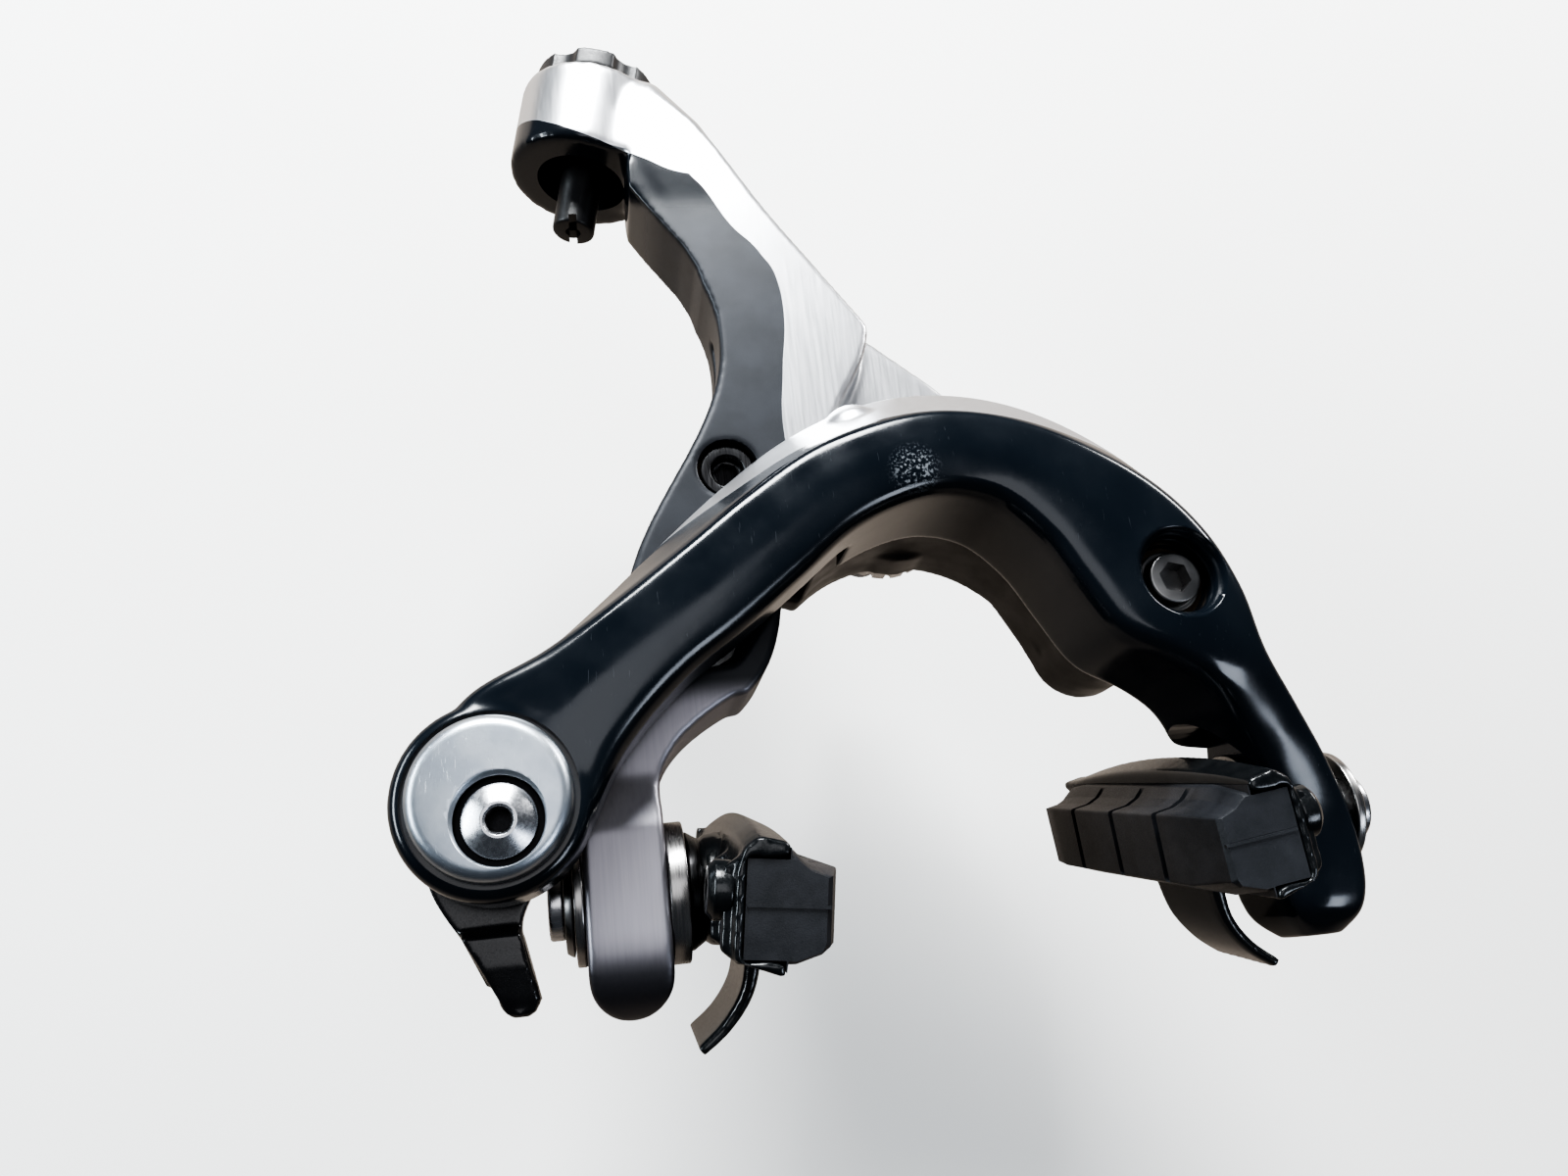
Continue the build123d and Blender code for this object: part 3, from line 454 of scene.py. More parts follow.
def cap_metal():
    """Smooth turned alloy, with painted shade inside the hex socket."""
    made = Finish("cap_screw", (0.4, 0.41, 0.43), 0.26, 1.0)
    radius = made.from_axis(ANCHOR)
    marks = made.noise(3.0, 2.0)
    colour = made.colours(marks, (0.42, 0.43, 0.45), (0.47, 0.48, 0.50))
    # painted shade: near-black inside the hex socket
    made.set("Base Color", made.colours(made.span(radius, 1.22, 1.12), colour, (0.012, 0.012, 0.013)))
    made.set("Roughness", made.span(marks, 0.3, 0.7, 0.24, 0.30))
    rings = made.math("SINE", made.math("MULTIPLY", radius, 20.0))
    made.bumps((rings, 0.0002), (made.scratches(0.8, 0.9), -0.0004))
    return made.material


def disc_alloy():
    """Satin aluminium, blasted, with a few light scratches and painted shade in the recess round the cap
    screw.
    """
    made = Finish("disc_alloy", (0.5, 0.53, 0.56), 0.34, 1.0)
    fine, cloud = made.noise(16.0, 2.0), made.noise(0.35, 3.0)
    lines = made.scratches(0.66, 0.6)
    colour = made.colours(made.span(cloud, 0.3, 0.7), (0.36, 0.40, 0.45), (0.46, 0.50, 0.54))
    colour = made.colours(made.math("MULTIPLY", lines, 0.4), colour, (0.75, 0.77, 0.78))
    # painted shade: near-black on the floor and wall of the recess round the cap screw
    recess = made.span(made.from_axis(ANCHOR), 3.98, 3.9)
    made.set("Base Color", made.colours(recess, colour, (0.012, 0.012, 0.013)))
    made.set("Roughness", made.span(fine, 0.3, 0.7, 0.30, 0.40))
    made.bumps((fine, 0.003), (lines, -0.004), (cloud, 0.01))
    return made.material


def moulded(name, colour, lighter, rough_low, rough_high, texture=6.0, depth=0.01):
    """Moulded plastic or rubber: mottled, with a fine skin texture and pale dust."""
    made = Finish(name, colour, rough_low)
    fine, cloud, dust = made.noise(texture, 4.0), made.noise(0.4, 4.0), made.noise(2.6, 6.0)
    mottled = made.colours(made.span(cloud, 0.3, 0.7), colour, lighter)
    dusty = tuple(c * 2 + 0.01 for c in lighter)
    made.set("Base Color", made.colours(made.span(dust, 0.62, 0.8, 0, 0.3), mottled, dusty))
    made.set("Roughness", made.span(fine, 0.3, 0.7, rough_low, rough_high))
    made.bumps((fine, depth), (cloud, depth * 3))
    return made.material


FINISHES = {
    "arch_paint": arch_paint(),
    "arm_satin": arm_satin(),
    "bridge_dark": bridge_dark(),
    "steel": turned_metal("steel", (0.40, 0.40, 0.41), (0.58, 0.58, 0.59), 0.22, 0.34),
    "dark_steel": turned_metal("dark_steel", (0.20, 0.198, 0.20), (0.28, 0.276, 0.272), 0.3, 0.42),
    "bronze": turned_metal("bronze", (0.06, 0.045, 0.03), (0.10, 0.072, 0.05), 0.3, 0.42),
    "spring_steel": turned_metal("spring_steel", (0.30, 0.30, 0.31), (0.46, 0.46, 0.48), 0.25, 0.36),
    "grey_plastic": moulded("grey_plastic", (0.44, 0.45, 0.45), (0.56, 0.57, 0.57), 0.38, 0.5),
    "knob_plastic": moulded("knob_plastic", (0.004, 0.004, 0.005), (0.009, 0.009, 0.010), 0.35, 0.5),
    "rubber_ring": moulded("rubber_ring", (0.01, 0.01, 0.01), (0.02, 0.02, 0.02), 0.5, 0.65),
    "disc_alloy": disc_alloy(),
    "cap_screw": cap_metal(),
    "lever_black": moulded("lever_black", (0.005, 0.005, 0.006), (0.010, 0.010, 0.011), 0.18, 0.28,
                           9.0, 0.002),
    "holder_black": moulded("holder_black", (0.004, 0.005, 0.006), (0.009, 0.010, 0.011), 0.14, 0.26,
                            5.0, 0.006),
    "pad_rubber": moulded("pad_rubber", (0.006, 0.007, 0.009), (0.013, 0.014, 0.017), 0.36, 0.5, 8.0, 0.012),
    "washer_black": turned_metal("washer_black", (0.035, 0.035, 0.037), (0.07, 0.07, 0.072), 0.25, 0.36,
                                 lie=(1, 0.05, 0.05)),
    "washer_steel": turned_metal("washer_steel", (0.27, 0.265, 0.26), (0.37, 0.36, 0.35), 0.24, 0.32,
                                 lie=(1, 0.05, 0.05)),
}


# ---- arms and bridge ------------------------------------------------------
def through(stations, steps):
    """Rows of numbers on a smooth curve through the stations."""
    rows = []
    last = len(stations) - 1
    for i in range(last):
        before, here = stations[max(i - 1, 0)], stations[i]
        there, after = stations[i + 1], stations[min(i + 2, last)]
        for k in range(steps):
            t = k / steps
            weights = (-t ** 3 / 2 + t ** 2 - t / 2, 1.5 * t ** 3 - 2.5 * t ** 2 + 1,
                       -1.5 * t ** 3 + 2 * t ** 2 + t / 2, t ** 3 / 2 - t ** 2 / 2)
            columns = zip(before, here, there, after)
            rows.append([sum(w * p for w, p in zip(weights, column)) for column in columns])
    rows.append(list(stations[last]))
    return rows


ARCH_BACK, BOSS_BACK, BOSS_FRONT = 18.8, 26.0, 34.1
# inner edge x, z; outer edge x, z; front depth; back depth; height of the crest behind the outer edge
ARCH_STATIONS = [
    (-44.5, -44.0, -53.4, -31.4, 33.9, 18.8, 0.0),
    (-39.6, -40.3, -49.0, -26.4, 34.2, 18.8, 0.5),
    (-35.2, -32.6, -42.0, -23.0, 34.4, 18.8, 1.4),
    (-29.3, -26.4, -35.0, -18.5, 34.5, 18.8, 2.4),
    (-23.2, -22.0, -28.2, -13.6, 34.5, 18.8, 3.4),
    (-16.6, -16.8, -21.6, -8.7, 34.5, 18.8, 4.0),
    (-10.8, -12.3, -14.6, -4.2, 34.5, 18.8, 4.5),
    (-5.4, -9.9, -7.2, -1.6, 34.5, 18.8, 5.3),
    (-0.6, -9.2, -0.5, -0.7, 34.5, 18.8, 5.5),
    (4.2, -10.6, 6.6, -1.8, 34.5, 18.8, 5.6),
    (8.2, -14.6, 13.6, -4.8, 34.5, 18.8, 5.3),
    (11.0, -19.6, 20.6, -9.6, 34.5, 18.8, 4.4),
    (14.4, -25.2, 25.4, -15.2, 34.5, 18.8, 3.0),
    (19.2, -28.2, 28.2, -21.4, 34.3, 18.8, 1.6),
    (23.2, -31.0, 30.0, -27.6, 33.2, 17.4, 0.6),
    (26.4, -34.8, 33.4, -32.8, 30.8, 14.6, 0.0),
    (29.4, -39.4, 37.0, -38.6, 28.2, 13.0, 0.0),
    (30.8, -44.4, 39.4, -44.4, 26.4, 13.0, 0.0),
    (30.8, -50.0, 40.0, -50.2, 25.6, 13.0, 0.0),
    (31.4, -53.8, 39.2, -54.0, 24.8, 14.0, 0.0),
    (33.2, -56.2, 37.4, -56.2, 22.6, 16.2, 0.0),
]


def arch_section(row):
    """Closed loop across the arch: back, crest, rounded front edge, front face, inner edge."""
    inner, outer = Vector((row[0], 0, row[1])), Vector((row[2], 0, row[3]))
    front, back, rise = row[4:]
    width = (outer - inner).length
    across = (outer - inner) / width
    crest = back + (front - back) * 0.52
    corners = [(0, back), (width + rise, back), (width + rise, crest), (width, front - 0.5),
               (width * 0.5, front), (0, front - 0.6)]
    outline = filleted([Vector(c) for c in corners], [1.0, 1.2, 2.4, 1.6, 12, 2.6], 5, True)
    return [inner + across * p.x + Vector((0, -p.y, 0)) for p in outline]


def block(name, low, high):
    """Box from one corner to the other."""
    shape = bmesh.new()
    bmesh.ops.create_cube(shape, size=1)
    size, centre = Vector(high) - Vector(low), (Vector(high) + Vector(low)) / 2
    place = Matrix.Translation(centre) @ Matrix.Diagonal((*size, 1))
    bmesh.ops.transform(shape, matrix=place, verts=shape.verts)
    return from_bmesh(name, shape)


def joined(first, *others):
    """Put closed shapes in one mesh, for the voxel grid to unite."""
    shape = bmesh.new()
    for piece in (first, *others):
        shape.from_mesh(piece.data)
    shape.to_mesh(first.data)
    shape.free()
    for piece in others:
        bpy.data.objects.remove(piece)
    return first


def slot_tool(inner_x, side, mid_y, mid_z):
    """Cutter for a foot's shoe-bolt slot and the flat seat inside it."""
    half, travel, seat = 3.2, 4.0, 7.3

    def stadium(radius):
        points = []
        for k in range(49):
            turn = math.pi * k / 24
            shift = travel if math.sin(turn) >= 0 else -travel
            points.append((radius * math.cos(turn), radius * math.sin(turn) + shift))
        return points

    def across(x):
        return lambda a, b: Vector((x, mid_y + a, mid_z + b))

    hole = prism("tool", stadium(half), across(inner_x + side), (-side * 14, 0, 0))
    flat = prism("flat", stadium(seat), across(inner_x), (side * 7, 0, 0))
    return hole, flat


def cut_slot(piece, inner_x, side):
    for tool in slot_tool(inner_x, side, SHOE_Y, SLOT_Z):
        combined(piece, tool, "DIFFERENCE")


def make_arch():
    """Front arm: swept arch and leg, cam boss at the left, recess for the pivot bolt at the right."""
    body = swept("arch", [arch_section(row) for row in through(ARCH_STATIONS, 7)])
    relief = [(-70, -60), (-70, 20), (-5.5, 20), (-7.6, 6), (-12.0, -20), (-30, -60)]
    back = prism("tool", relief, lambda a, b: Vector((a, -ARCH_BACK + 2, b)),
                 (0, ARCH_BACK - BOSS_BACK - 2, 0))
    combined(body, back, "DIFFERENCE")
    rim = filleted([(0, 0), (9.0, 0), (9.0, BOSS_FRONT - BOSS_BACK), (0, BOSS_FRONT - BOSS_BACK)],
                   [0, 0.8, 1.5, 0], 5)
    boss = lathe("boss", (DISC.x, -BOSS_BACK, DISC.z), (0, -1, 0), [tuple(p) for p in rim])
    dome = [(0, -3), (3.5, -3), (3.4, 1.0), (3.0, 2.4), (2.1, 3.3), (1.1, 3.8), (0, 3.95)]
    lump = lathe("lump", (-8.6, -27.4, -0.6), (-0.25, 0, 1), dome, 32)
    shell = remeshed(joined(body, boss, lump), 0.33, 9)
    drill(shell, DISC, 7.9, 33.2, 38)
    drill(shell, DISC, 5.05, BOSS_BACK - 1, 36)
    mouth = [(0, 0), (3.95, 0), (3.95, 11.0), (4.15, 11.0), (4.15, 14.6), (4.7, 15.5), (5.6, 16.2), (0, 16.2)]
    tool = lathe("tool", (RIGHT_PIVOT.x, -ARCH_BACK + 0.2, RIGHT_PIVOT.z), (0, -1, 0), mouth)
    combined(shell, tool, "DIFFERENCE")
    cut_slot(shell, RIGHT_FOOT, -1)
    return placed(shell, "right_arm", ["right_arm"], "arch_paint", 50)


def ring_point(height):
    """A point on the adjuster's axis, at a height above the ring's lower face."""
    return RING_BASE + RING_AXIS * height


def rounded_box_section(low, high, near, far, radius):
    """Closed loop across the arm between two edge points in x and z and two depths."""
    low, high = Vector((low[0], 0, low[1])), Vector((high[0], 0, high[1]))
    width = (high - low).length
    across = (high - low) / width
    corners = ((0, near), (width, near), (width, far), (0, far))
    outline = filleted([Vector(c) for c in corners], radius, 6, True)
    return [low + across * p.x + Vector((0, -p.y, 0)) for p in outline]


def make_rear_arm():
    """Rear arm: the ring flows into the arm through a thick shoulder."""
    arm = cad_copy("rear_arm", "left_arm")
    shoulder = swept("shoulder", [
        rounded_box_section((-34.6, 42.0), (-31.6, 52.2), 10.0, 23.4, 5.0),
        rounded_box_section((-31.6, 38.8), (-25.6, 50.4), 11.0, 24.1, 4.4),
        rounded_box_section((-28.8, 33.4), (-20.9, 44.0), 12.6, 24.1, 3.0),
        rounded_box_section((-26.2, 28.0), (-16.6, 35.2), 13.0, 24.0, 1.6),
        rounded_box_section((-24.4, 24.8), (-13.6, 29.6), 13.0, 23.8, 1.2)])
    top = RING_HEIGHT - 0.2
    around = lathe("around", RING_BASE, RING_AXIS, [(0, 0), (8.6, 0), (8.6, top), (0, top)])
    arm = remeshed(joined(arm, shoulder, around), 0.32, 2)
    below = [(-50, 43.3), (-29.9, 39.1), (-30.3, 36.6), (-30.1, 34.2), (-28.7, 32.1), (-26.7, 29.2),
             (-24.6, 26.2), (-23.3, 23.5), (-22.7, 21.0), (-50, 21.0)]
    combined(arm, prism("tool", below, lambda a, b: Vector((a, 0, b)), (0, -40, 0)), "DIFFERENCE")
    arm = remeshed(arm, 0.32, 6)
    near_ring = arm.vertex_groups.new(name="ring")
    centre = ring_point(RING_HEIGHT * 0.6)
    for vertex in arm.data.vertices:
        away = (vertex.co - centre).length
        near_ring.add([vertex.index], min(1.0, max(0.0, (17.0 - away) / 6.0)), "REPLACE")
    extra = arm.modifiers.new("extra", "SMOOTH")
    extra.vertex_group = "ring"
    extra.iterations = 22
    baked(arm)
    arm.vertex_groups.clear()
    bore = [(0, -14), (2.9, -14), (2.9, -0.4), (5.3, -0.4), (5.3, HOUSING_SEAT), (4.2, HOUSING_SEAT),
            (4.2, 16), (0, 16)]
    combined(arm, lathe("tool", RING_BASE, RING_AXIS, bore), "DIFFERENCE")
    drill(arm, LEFT_PIVOT, 3.1, 11, 21.0)
    drill(arm, LEFT_PIVOT, 3.35, 20.8, 25)
    cut_slot(arm, LEFT_FOOT, 1)
    return placed(arm, "left_arm", ["left_arm"], "arm_satin", 50)


def make_bridge():
    bridge = remeshed(cad_copy("bridge_casting", "bridge"), 0.34, 8)
    return placed(bridge, "bridge", ["bridge"], "bridge_dark", 50)


# ---- turned and socket hardware -------------------------------------------
def edge_rounded(profile, radius=0.25, steps=3):
    return [tuple(p) for p in filleted(profile, radius, steps)]


def turned(name, body, node, slot, centre, axis, profile, radius=0.25, socket=None, steps=72):
    """A lathe piece that stands for a CAD node; socket is (across flats, from height, to height)."""
    piece = lathe(name, centre, axis, edge_rounded(profile, radius), steps)
    if socket:
        flats, low, high = socket
        axis = Vector(axis).normalized()
        side = axis.orthogonal().normalized()
        other = axis.cross(side)
        base = Vector(centre)
        tool = prism("tool", hexagon(flats), lambda a, b: base + axis * low + side * a + other * b,
                     axis * (high - low))
        combined(piece, tool, "DIFFERENCE")
    return placed(piece, body, [node], slot, 35)


def make_pivot_hardware():
    turned("right_pivot_screw", "bridge", "right_pivot_bolt", "dark_steel", (RIGHT_PIVOT.x, 0, RIGHT_PIVOT.z),
           (0, -1, 0), [(0, 5.0), (2.48, 5.0), (2.48, 18.2), (3.0, 18.2), (3.0, 29.75), (3.35, 29.75),
                        (3.35, 30.3), (2.75, 30.3), (2.75, 31.9), (0, 31.9)], 0.3, (3.0, 30.0, 33.0))
    turned("left_pivot_screw", "bridge", "left_pivot_bolt", "washer_black", (LEFT_PIVOT.x, 0, LEFT_PIVOT.z),
           (0, -1, 0), [(0, 3.0), (2.48, 3.0), (2.48, 21.4), (2.95, 21.4), (2.95, 23.2), (1.9, 23.2),
                        (1.6, 22.7), (1.6, 21.9), (0, 21.9)], 0.22, (2.5, 20.6, 23.0))


def make_mounting_bolt():
    low, high = box_mm("mounting_bolt")
    pitch, depth, root_y = 1.0, 0.32, 6.0
    profile = [(0, -high.y), (2.4, -high.y)]
    level = -high.y + 0.6
    while level < -root_y:
        profile += [(3.0, level), (3.0 - depth, level + pitch / 2)]
        level += pitch
    profile += [(3.0, level), (3.45, level), (3.45, -low.y - 3.0), (4.8, -low.y - 3.0), (4.8, -low.y),
                (0, -low.y)]
    piece = lathe("mounting_screw", (0, 0, 0), (0, -1, 0), profile, 64)
    return placed(piece, "bridge", ["mounting_bolt"], "steel", 35)


def make_cam():
    """Polished disc with an off-centre recess, and the turned cap screw in it."""
    radius, face = 7.4, 36.0
    profile = [(0, 25.1), (5.0, 25.1), (5.0, 33.3), (radius, 33.3)]
    edge = 1.3
    for k in range(9):
        turn = math.pi / 2 * k / 8
        profile.append((radius - edge + edge * math.cos(turn), face - 0.25 - edge + edge * math.sin(turn)))
    for k in range(1, 13):
        r = (radius - edge) * (1 - k / 12)
        profile.append((r, face - 0.25 * (r / (radius - edge)) ** 2))
    disc = lathe("polished_disc", (DISC.x, 0, DISC.z), (0, -1, 0), profile, 128)
    recess = [(0, 34.4), (3.9, 34.4), (3.9, 35.4), (4.0, 35.65), (4.3, 35.9), (5.0, 36.3), (0, 36.3)]
    combined(disc, lathe("tool", (ANCHOR.x, 0, ANCHOR.z), (0, -1, 0), recess, 96), "DIFFERENCE")
    drill(disc, ANCHOR, 2.05, 20, 35)
    placed(disc, "quick_release", ["cam_disc"], "disc_alloy", 40)
    cap = [(0, 17.2), (2.0, 17.2), (2.0, 34.42), (3.3, 34.42), (3.35, 35.25), (1.6, 36.1),
           (1.35, 36.1), (1.1, 35.8), (0, 35.8)]
    turned("cap_screw", "quick_release", "anchor_bolt", "cap_screw", (ANCHOR.x, 0, ANCHOR.z), (0, -1, 0),
           cap, 0.12, (2.0, 33.4, 36.5), 96)


def make_lever():
    """Flat neck below the cam, and a thicker finger pad with a step at its top."""
    neck = [(-52.6, -35.0), (-54.2, -38.6), (-54.3, -42.2), (-51.4, -47.5), (-49.2, -52.0), (-45.2, -52.0),
            (-45.9, -48.1), (-45.7, -45.6), (-43.8, -42.6), (-42.4, -38.6), (-43.0, -35.0)]
    web = prism("web", neck, lambda a, b: Vector((a, -22.9, b)), (0, -2.15, 0))
    # height; left and right edge; back and front depth
    rows = [(-46.8, -51.7, -45.9, 22.9, 24.6), (-47.7, -51.2, -45.9, 22.2, 26.5),
            (-50.5, -49.6, -45.3, 21.6, 26.3), (-53.4, -48.1, -44.6, 21.6, 25.7),
            (-54.6, -47.5, -44.9, 21.9, 25.2), (-55.0, -46.9, -45.6, 22.3, 24.8)]
    pad = swept("pad", [[Vector((left, -back, z)), Vector((right, -back, z)), Vector((right, -front, z)),
                         Vector((left, -front, z))] for z, left, right, back, front in rows])
    bare = cad_copy("cam_lever", "quick_release_lever")
    lever = remeshed(joined(bare, web, pad), 0.2, 5)
    drill(lever, ANCHOR, 2.05, 20, 28)
    placed(lever, "quick_release", ["quick_release_lever"], "lever_black", 60)


def make_adjuster():
    knob = remeshed(cad_copy("scalloped_knob", "adjuster_knob"), 0.18, 7)
    placed(knob, "adjuster_knob", ["adjuster_knob"], "knob_plastic", 60)
    top = RING_HEIGHT + 2.9
    profile = [(0.9, -7.0), (2.5, -7.0), (2.5, 4.4), (3.45, 4.4), (3.45, top), (2.6, top), (2.6, 5.6),
               (0.9, 5.6)]
    barrel = lathe("barrel", RING_BASE, RING_AXIS, edge_rounded(profile, 0.4))
    tip = ring_point(-7.0)
    slit = block("tool", (tip.x - 0.45, tip.y - 3, tip.z - 1.0), (tip.x + 0.45, tip.y + 3, tip.z + 0.9))
    combined(barrel, slit, "DIFFERENCE")
    placed(barrel, "adjuster_barrel", ["adjuster_barrel"], "knob_plastic", 40)


# ---- shoes ----------------------------------------------------------------
class Shoe:
    """Places on one shoe: u from the foot towards the rim, s back along the pad, v up across it."""
    pitch, lean, hub = math.radians(9), math.radians(7.5), 4.0
    near, far = -19.7, 26.2

    def __init__(self, name, foot_x, side):
        self.name, self.foot_x, self.side = name, foot_x, side
        bolt = middle(f"{name}_shoe_bolt")
        self.y, self.z = bolt.y, bolt.z
        run, rise = math.cos(self.pitch), math.sin(self.pitch)
        tip, level = math.sin(self.lean), math.cos(self.lean)
        self.to_rim = Vector((side * level, tip * rise, -tip * run))
        self.back = Vector((0, run, rise))
        self.up = Vector((side * tip, -level * rise, level * run))

    def at(self, u, s, v):
        heart = Vector((self.foot_x + self.side * self.hub, self.y, self.z))
        return heart + self.to_rim * (u - self.hub) + self.back * s + self.up * v

    def level(self):
        return (self.foot_x, self.y, self.z), (self.side, 0, 0)


def shoe_holder(shoe):
    """Channel with arched flanges, a hub round the bolt, a bump for the pad screw and a wheel guide."""
    def section(s):
        reach = max(0.0, 1 - ((s - 1.0) / 23.0) ** 2)
        lip, top, low = 5.4 + 1.2 * reach, 5.7 + 2.0 * reach, 5.6
        corners = [(4.9, -low + 1.2), (4.7, -3.0), (4.7, 3.0), (5.3, top - 1.0), (6.6, top), (9.3, lip),
                   (9.3, 4.55), (7.8, 4.3), (5.5, 4.5), (5.5, -4.5), (7.8, -4.3), (9.3, -4.55), (9.3, -low)]
        return [shoe.at(p.x, s, p.y) for p in filleted([Vector(c) for c in corners], 0.55, 3, True)]

    stations = [shoe.near + (shoe.far - shoe.near) * k / 24 for k in range(25)]
    channel = swept(f"{shoe.name}_cartridge", [section(s) for s in stations])
    wall = ((4.8, -5.2), (4.8, 5.2), (8.8, 5.2), (8.8, -5.2))
    stop = swept("stop", [[shoe.at(u, shoe.far - d, v) for u, v in wall] for d in (1.8, 0.0)])
    centre, axis = shoe.level()
    hub = lathe("hub", centre, axis, [(0, 2.75), (4.4, 2.75), (5.4, 4.0), (5.6, 5.4), (0, 5.4)], 48)
    parts = [stop, hub]
    for s in (shoe.near + 1.6, shoe.near + 11.0):
        corners = ((3.7, -3.6), (3.7, 3.4), (5.4, 4.6), (5.4, -4.8))
        parts.append(swept("rib", [[shoe.at(u, s + d, v) for u, v in corners] for d in (-0.8, 0.8)]))
    # the wheel guide: u, v, half its width, thickness
    spine = through([(8.3, -4.8, 6.6, 1.7), (7.9, -8.8, 6.2, 1.4), (6.2, -12.0, 6.0, 1.2),
                     (3.8, -14.4, 6.2, 1.0)], 6)
    fin = []
    for i, (u, v, half, thick) in enumerate(spine):
        ahead, behind = spine[min(i + 1, len(spine) - 1)], spine[max(i - 1, 0)]
        along = Vector((ahead[0] - behind[0], ahead[1] - behind[1])).normalized()
        across = Vector((-along.y, along.x)) * thick / 2
        loop = filleted([Vector(c) for c in ((-half, -1), (half, -1), (half, 1), (-half, 1))], 0.8, 3, True)
        fin.append([shoe.at(u + across.x * p.y, p.x, v + across.y * p.y) for p in loop])
    parts.append(swept("fin", fin))
    holder = remeshed(joined(channel, *parts), 0.24, 8)
    bore = [(0, 0), (2.52, 0), (2.52, 5.3), (0, 5.3)]
    combined(holder, lathe("tool", centre, axis, bore, 48), "DIFFERENCE")
    body = f"{shoe.name}_shoe"
    placed(holder, body, [f"{shoe.name}_shoe_holder"], "holder_black", 50)


def shoe_pad(shoe):
    """Rubber block: waisted section, tapered ends, slanting water grooves and a mould parting line."""
    outline = [(5.6, -4.2), (5.6, 4.2), (9.32, 4.2), (9.32, 5.3), (10.0, 5.2), (11.2, 4.1), (12.4, 3.6),
               (14.5, 3.4), (14.5, -3.4), (12.4, -4.3), (10.2, -5.3), (9.32, -5.3), (9.32, -4.2)]
    radii = [0.1, 0.1, 0.05, 0.3, 0.5, 0.9, 0.8, 0.35, 0.35, 0.8, 0.8, 0.3, 0.05]
    loop = filleted([Vector(c) for c in outline], radii, 4, True)
    length_near, length_far = shoe.near + 0.3, shoe.far - 3.3
    stations = [(length_near, 0.80), (length_near + 0.4, 0.85), (length_near + 6.0, 1.0),
                (length_far - 5.0, 1.0), (length_far - 1.2, 0.94), (length_far, 0.86)]
    sections = []
    for s, scale in stations:
        narrow = 14.5 - (1 - scale) * 9 if scale < 0.95 else 14.5
        sections.append([shoe.at(min(p.x, narrow), s, p.y * (scale if p.x > 9.4 else 1)) for p in loop])
    pad = swept(f"{shoe.name}_pad_block", sections)
    core = [(12.9, -2.6), (12.9, 2.7), (12.0, 3.1), (10.9, 3.6), (10.4, 4.3), (9.9, 6.2), (16, 6.2),
            (16, -6.2), (10.6, -6.2), (11.2, -3.5)]
    for s0, half in ((-9.0, 0.5), (1.5, 0.5), (12.0, 0.5)):
        tool = swept("tool", [[shoe.at(u, s0 + ds - 0.08 * v, v) for u, v in core] for ds in (-half, half)])
        combined(pad, tool, "DIFFERENCE")
    ridge = ((5.7, 0.17), (13.0, 0.17), (13.0, 0.43), (5.7, 0.43))
    ends = (length_near - 0.16, length_near + 0.6)
    seam = swept("seam", [[shoe.at(u, s, v) for u, v in ridge] for s in ends])
    combined(pad, seam, "UNION")
    placed(pad, f"{shoe.name}_shoe", [f"{shoe.name}_brake_pad"], "pad_rubber", 30)


def shoe_hardware(shoe):
    """Bolt, dished and domed washers either side of the foot, and the pad screw."""
    centre, axis = shoe.level()
    body = f"{shoe.name}_shoe"
    outer = box_mm(f"{shoe.name}_outer_dished_washer")
    start = (outer[1].x - shoe.foot_x) if shoe.side > 0 else (shoe.foot_x - outer[0].x)
    washers = {
        "inner_dished_washer": ("washer_steel", [
            (3.02, 0.05), (6.9, 0.05), (6.9, 1.9), (5.5, 2.0), (3.02, 1.6)]),
        "inner_domed_washer": ("washer_black", [
            (3.02, 1.75), (4.6, 2.1), (5.9, 2.1), (4.8, 3.8), (3.02, 3.9)]),
        "outer_dished_washer": ("washer_steel", [
            (3.02, start), (6.2, start), (6.2, start - 0.95), (5.2, start - 1.0), (3.02, start - 0.7)]),
        "outer_domed_washer": ("dark_steel", [
            (3.02, start - 0.85), (4.0, start - 1.1), (5.3, start - 1.1), (4.8, start - 1.9),
            (3.02, start - 1.9)]),
    }
    for node, (slot, profile) in washers.items():
        full = f"{shoe.name}_{node}"
        turned(full.replace("washer", "ring"), body, full, slot, centre, axis, profile, 0.2)
    head = start - 1.95
    turned(f"{shoe.name}_shoe_screw", body, f"{shoe.name}_shoe_bolt", "steel", centre, axis,
           [(0, head - 1.5), (3.5, head - 1.5), (3.5, head), (2.95, head), (2.95, 3.95), (2.48, 3.95),
            (2.48, 5.05), (0, 5.05)], 0.35, (4.0, head - 2.0, head + 0.8))
    base = shoe.at(0, shoe.near + 2.9, 1.3)
    turned(f"{shoe.name}_pad_fixing", body, f"{shoe.name}_pad_screw", "holder_black", base, shoe.to_rim,
           [(0, 2.4), (2.0, 2.4), (2.6, 3.0), (2.6, 4.65), (1.25, 4.65), (1.25, 9.2), (0, 9.2)], 0.3,
           (2.0, 2.0, 3.6))


# ---- nodes kept as they are -----------------------------------------------
def finish_cad_nodes():
    slots = {entry["node"]: entry["material_slot"] for entry in frame["record"]["subparts"]}
    for name, node in frame["nodes"].items():
        node.data.materials.clear()
        node.data.materials.append(FINISHES[slots[name]])


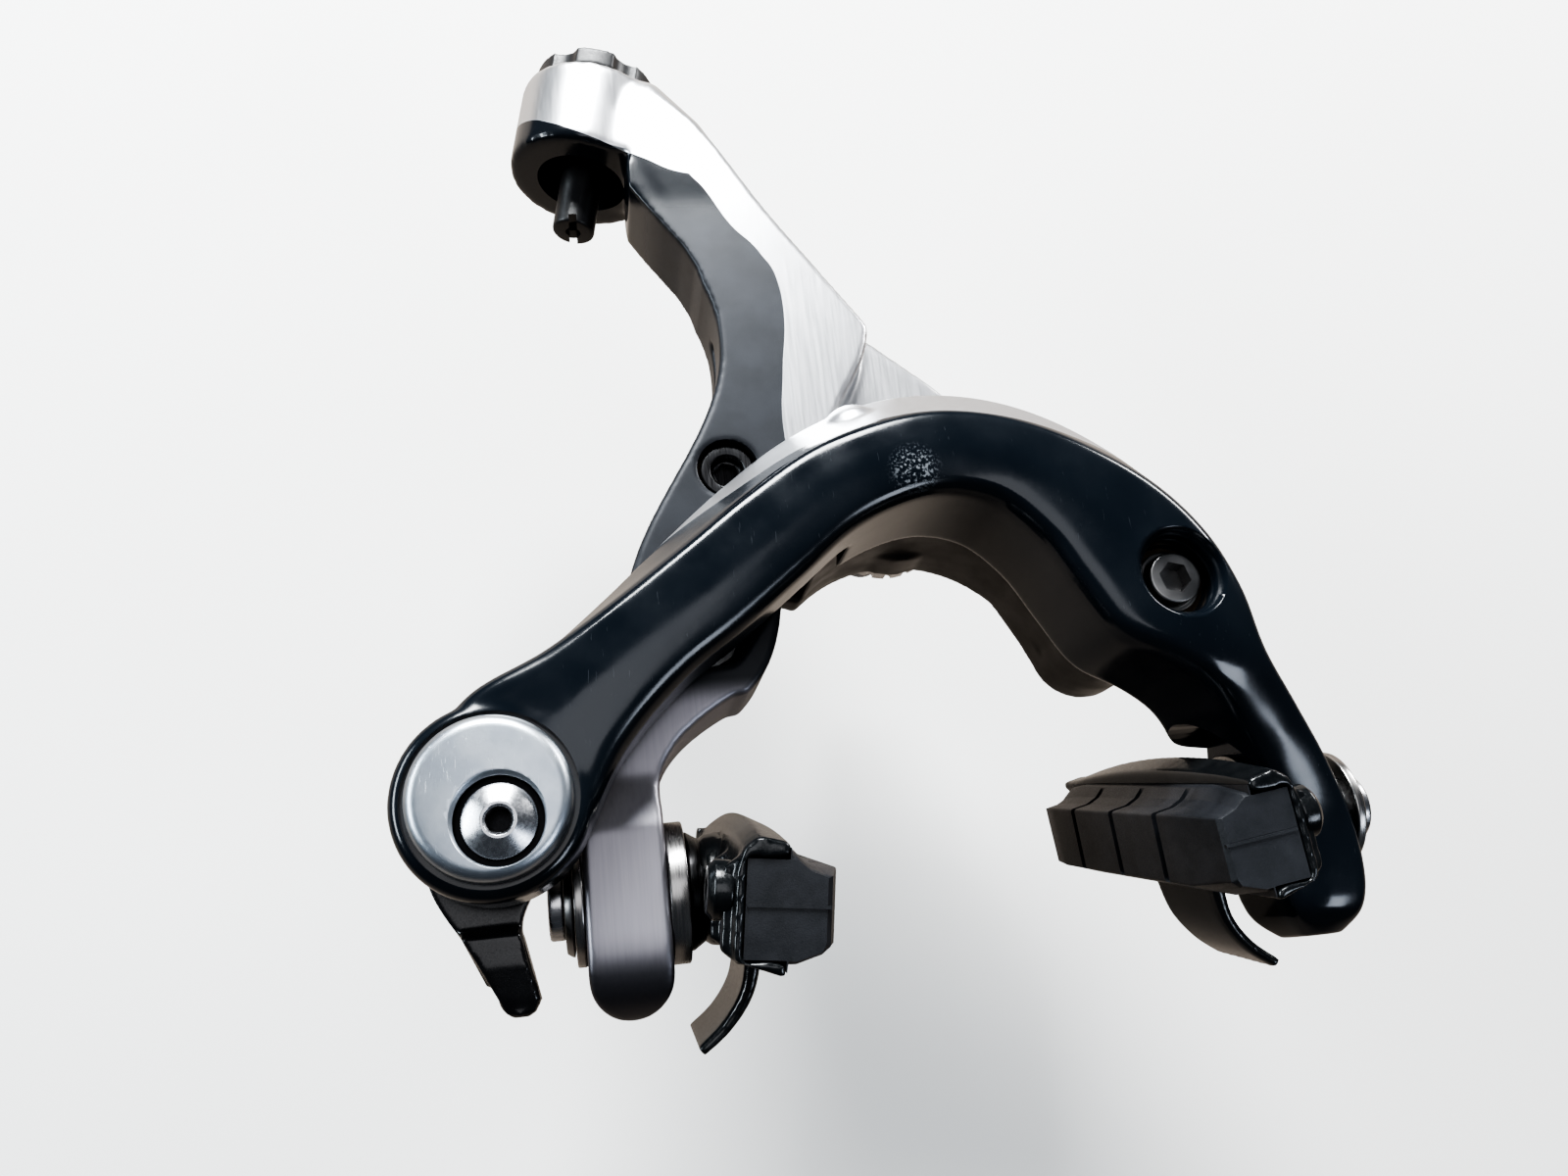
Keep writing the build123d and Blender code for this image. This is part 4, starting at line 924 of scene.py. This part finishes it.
# ---- stage ----------------------------------------------------------------
def make_stage():
    """Pale floor behind the caliper, seen only from its front side."""
    shape = bmesh.new()
    reach, depth = 2.5, 0.036
    corners = [(-reach, depth, -reach), (reach, depth, -reach), (reach, depth, reach), (-reach, depth, reach)]
    shape.faces.new([shape.verts.new(c) for c in corners])
    floor = from_bmesh("floor", shape)
    pale = Finish("floor_pale", (0.72, 0.71, 0.69), 0.75)
    cloud = pale.noise(0.01, 3.0)
    plain = pale.colours(cloud, (0.70, 0.69, 0.67), (0.76, 0.75, 0.73))
    seen = pale.node("ShaderNodeLightPath").outputs["Is Camera Ray"]
    pale.set("Base Color", pale.colours(seen, (0.20, 0.165, 0.135), plain))
    clear = pale.node("ShaderNodeBsdfTransparent")
    back = pale.node("ShaderNodeNewGeometry").outputs["Backfacing"]
    both = pale.node("ShaderNodeMixShader", {0: back, 1: pale.shader.outputs[0], 2: clear.outputs[0]})
    out = pale.tree.nodes["Material Output"]
    pale.tree.links.new(both.outputs[0], out.inputs["Surface"])
    floor.data.materials.append(pale.material)


def area_light(name, place, target, size, watts, colour=(1, 1, 1)):
    data = bpy.data.lights.new(name, "AREA")
    data.shape = "RECTANGLE"
    data.size, data.size_y = size
    data.energy = watts
    data.color = colour
    lamp = bpy.data.objects.new(name, data)
    bpy.context.scene.collection.objects.link(lamp)
    lamp.location = place
    direction = Vector(target) - Vector(place)
    lamp.rotation_euler = direction.to_track_quat("-Z", "Y").to_euler()


def make_lights():
    """A window-like panel high in front, weaker ones at the sides, in front and low down, and one behind."""
    area_light("window", (-0.06, -0.34, 0.46), (-0.01, 0, 0), (0.30, 0.22), 11.0, (0.96, 0.985, 1.0))
    area_light("side", (0.42, -0.20, 0.30), (0, 0, 0), (0.10, 0.20), 2.0)
    area_light("left", (-0.50, -0.26, 0.10), (0, 0, 0), (0.10, 0.44), 2.6, (0.86, 0.94, 1.0))
    area_light("front", (-0.02, -0.60, -0.02), (0, 0, 0), (0.30, 0.30), 0.55, (0.97, 0.97, 1.0))
    area_light("low_right", (0.40, -0.50, -0.38), (0.02, 0, -0.04), (0.2, 0.2), 1.0, (0.80, 0.88, 1.0))
    area_light("rear", (0.15, 0.55, 0.35), (0, 0, 0), (0.4, 0.4), 2.0)
    world = bpy.data.worlds.new("studio")
    bpy.context.scene.world = world
    world.use_nodes = True
    nodes, links = world.node_tree.nodes, world.node_tree.links
    dim = nodes["Background"]
    dim.inputs["Color"].default_value = (0.80, 0.88, 1.0, 1)
    dim.inputs["Strength"].default_value = 0.10
    pale = nodes.new("ShaderNodeBackground")
    pale.inputs["Color"].default_value = (0.80, 0.80, 0.79, 1)
    pale.inputs["Strength"].default_value = 0.8
    seen = nodes.new("ShaderNodeLightPath")
    mix = nodes.new("ShaderNodeMixShader")
    links.new(seen.outputs["Is Camera Ray"], mix.inputs[0])
    links.new(dim.outputs[0], mix.inputs[1])
    links.new(pale.outputs[0], mix.inputs[2])
    links.new(mix.outputs[0], nodes["World Output"].inputs["Surface"])


def make_camera():
    """The camera looks a little up and to the right at the caliper's front."""
    right = Vector((0.9847, -0.1356, -0.1098)).normalized()
    forward = Vector((0.1626, 0.9414, 0.2955)).normalized()
    up = right.cross(forward)
    data = bpy.data.cameras.new("camera")
    data.lens = 28.125
    data.sensor_width = 36.0
    data.clip_start = 0.005
    bpy.context.scene.view_settings.look = "AgX - High Contrast"
    camera = bpy.data.objects.new("camera", data)
    bpy.context.scene.collection.objects.link(camera)
    turn = Matrix((right, up, -forward)).transposed().to_4x4()
    camera.matrix_world = Matrix.Translation((-0.03836, -0.1450, -0.05348)) @ turn
    bpy.context.scene.camera = camera


finish_cad_nodes()
make_arch()
make_rear_arm()
make_bridge()
make_pivot_hardware()
make_mounting_bolt()
make_cam()
make_lever()
make_adjuster()
for made in (Shoe("left", LEFT_FOOT, 1), Shoe("right", RIGHT_FOOT, -1)):
    shoe_holder(made)
    shoe_pad(made)
    shoe_hardware(made)
make_stage()
make_lights()
make_camera()
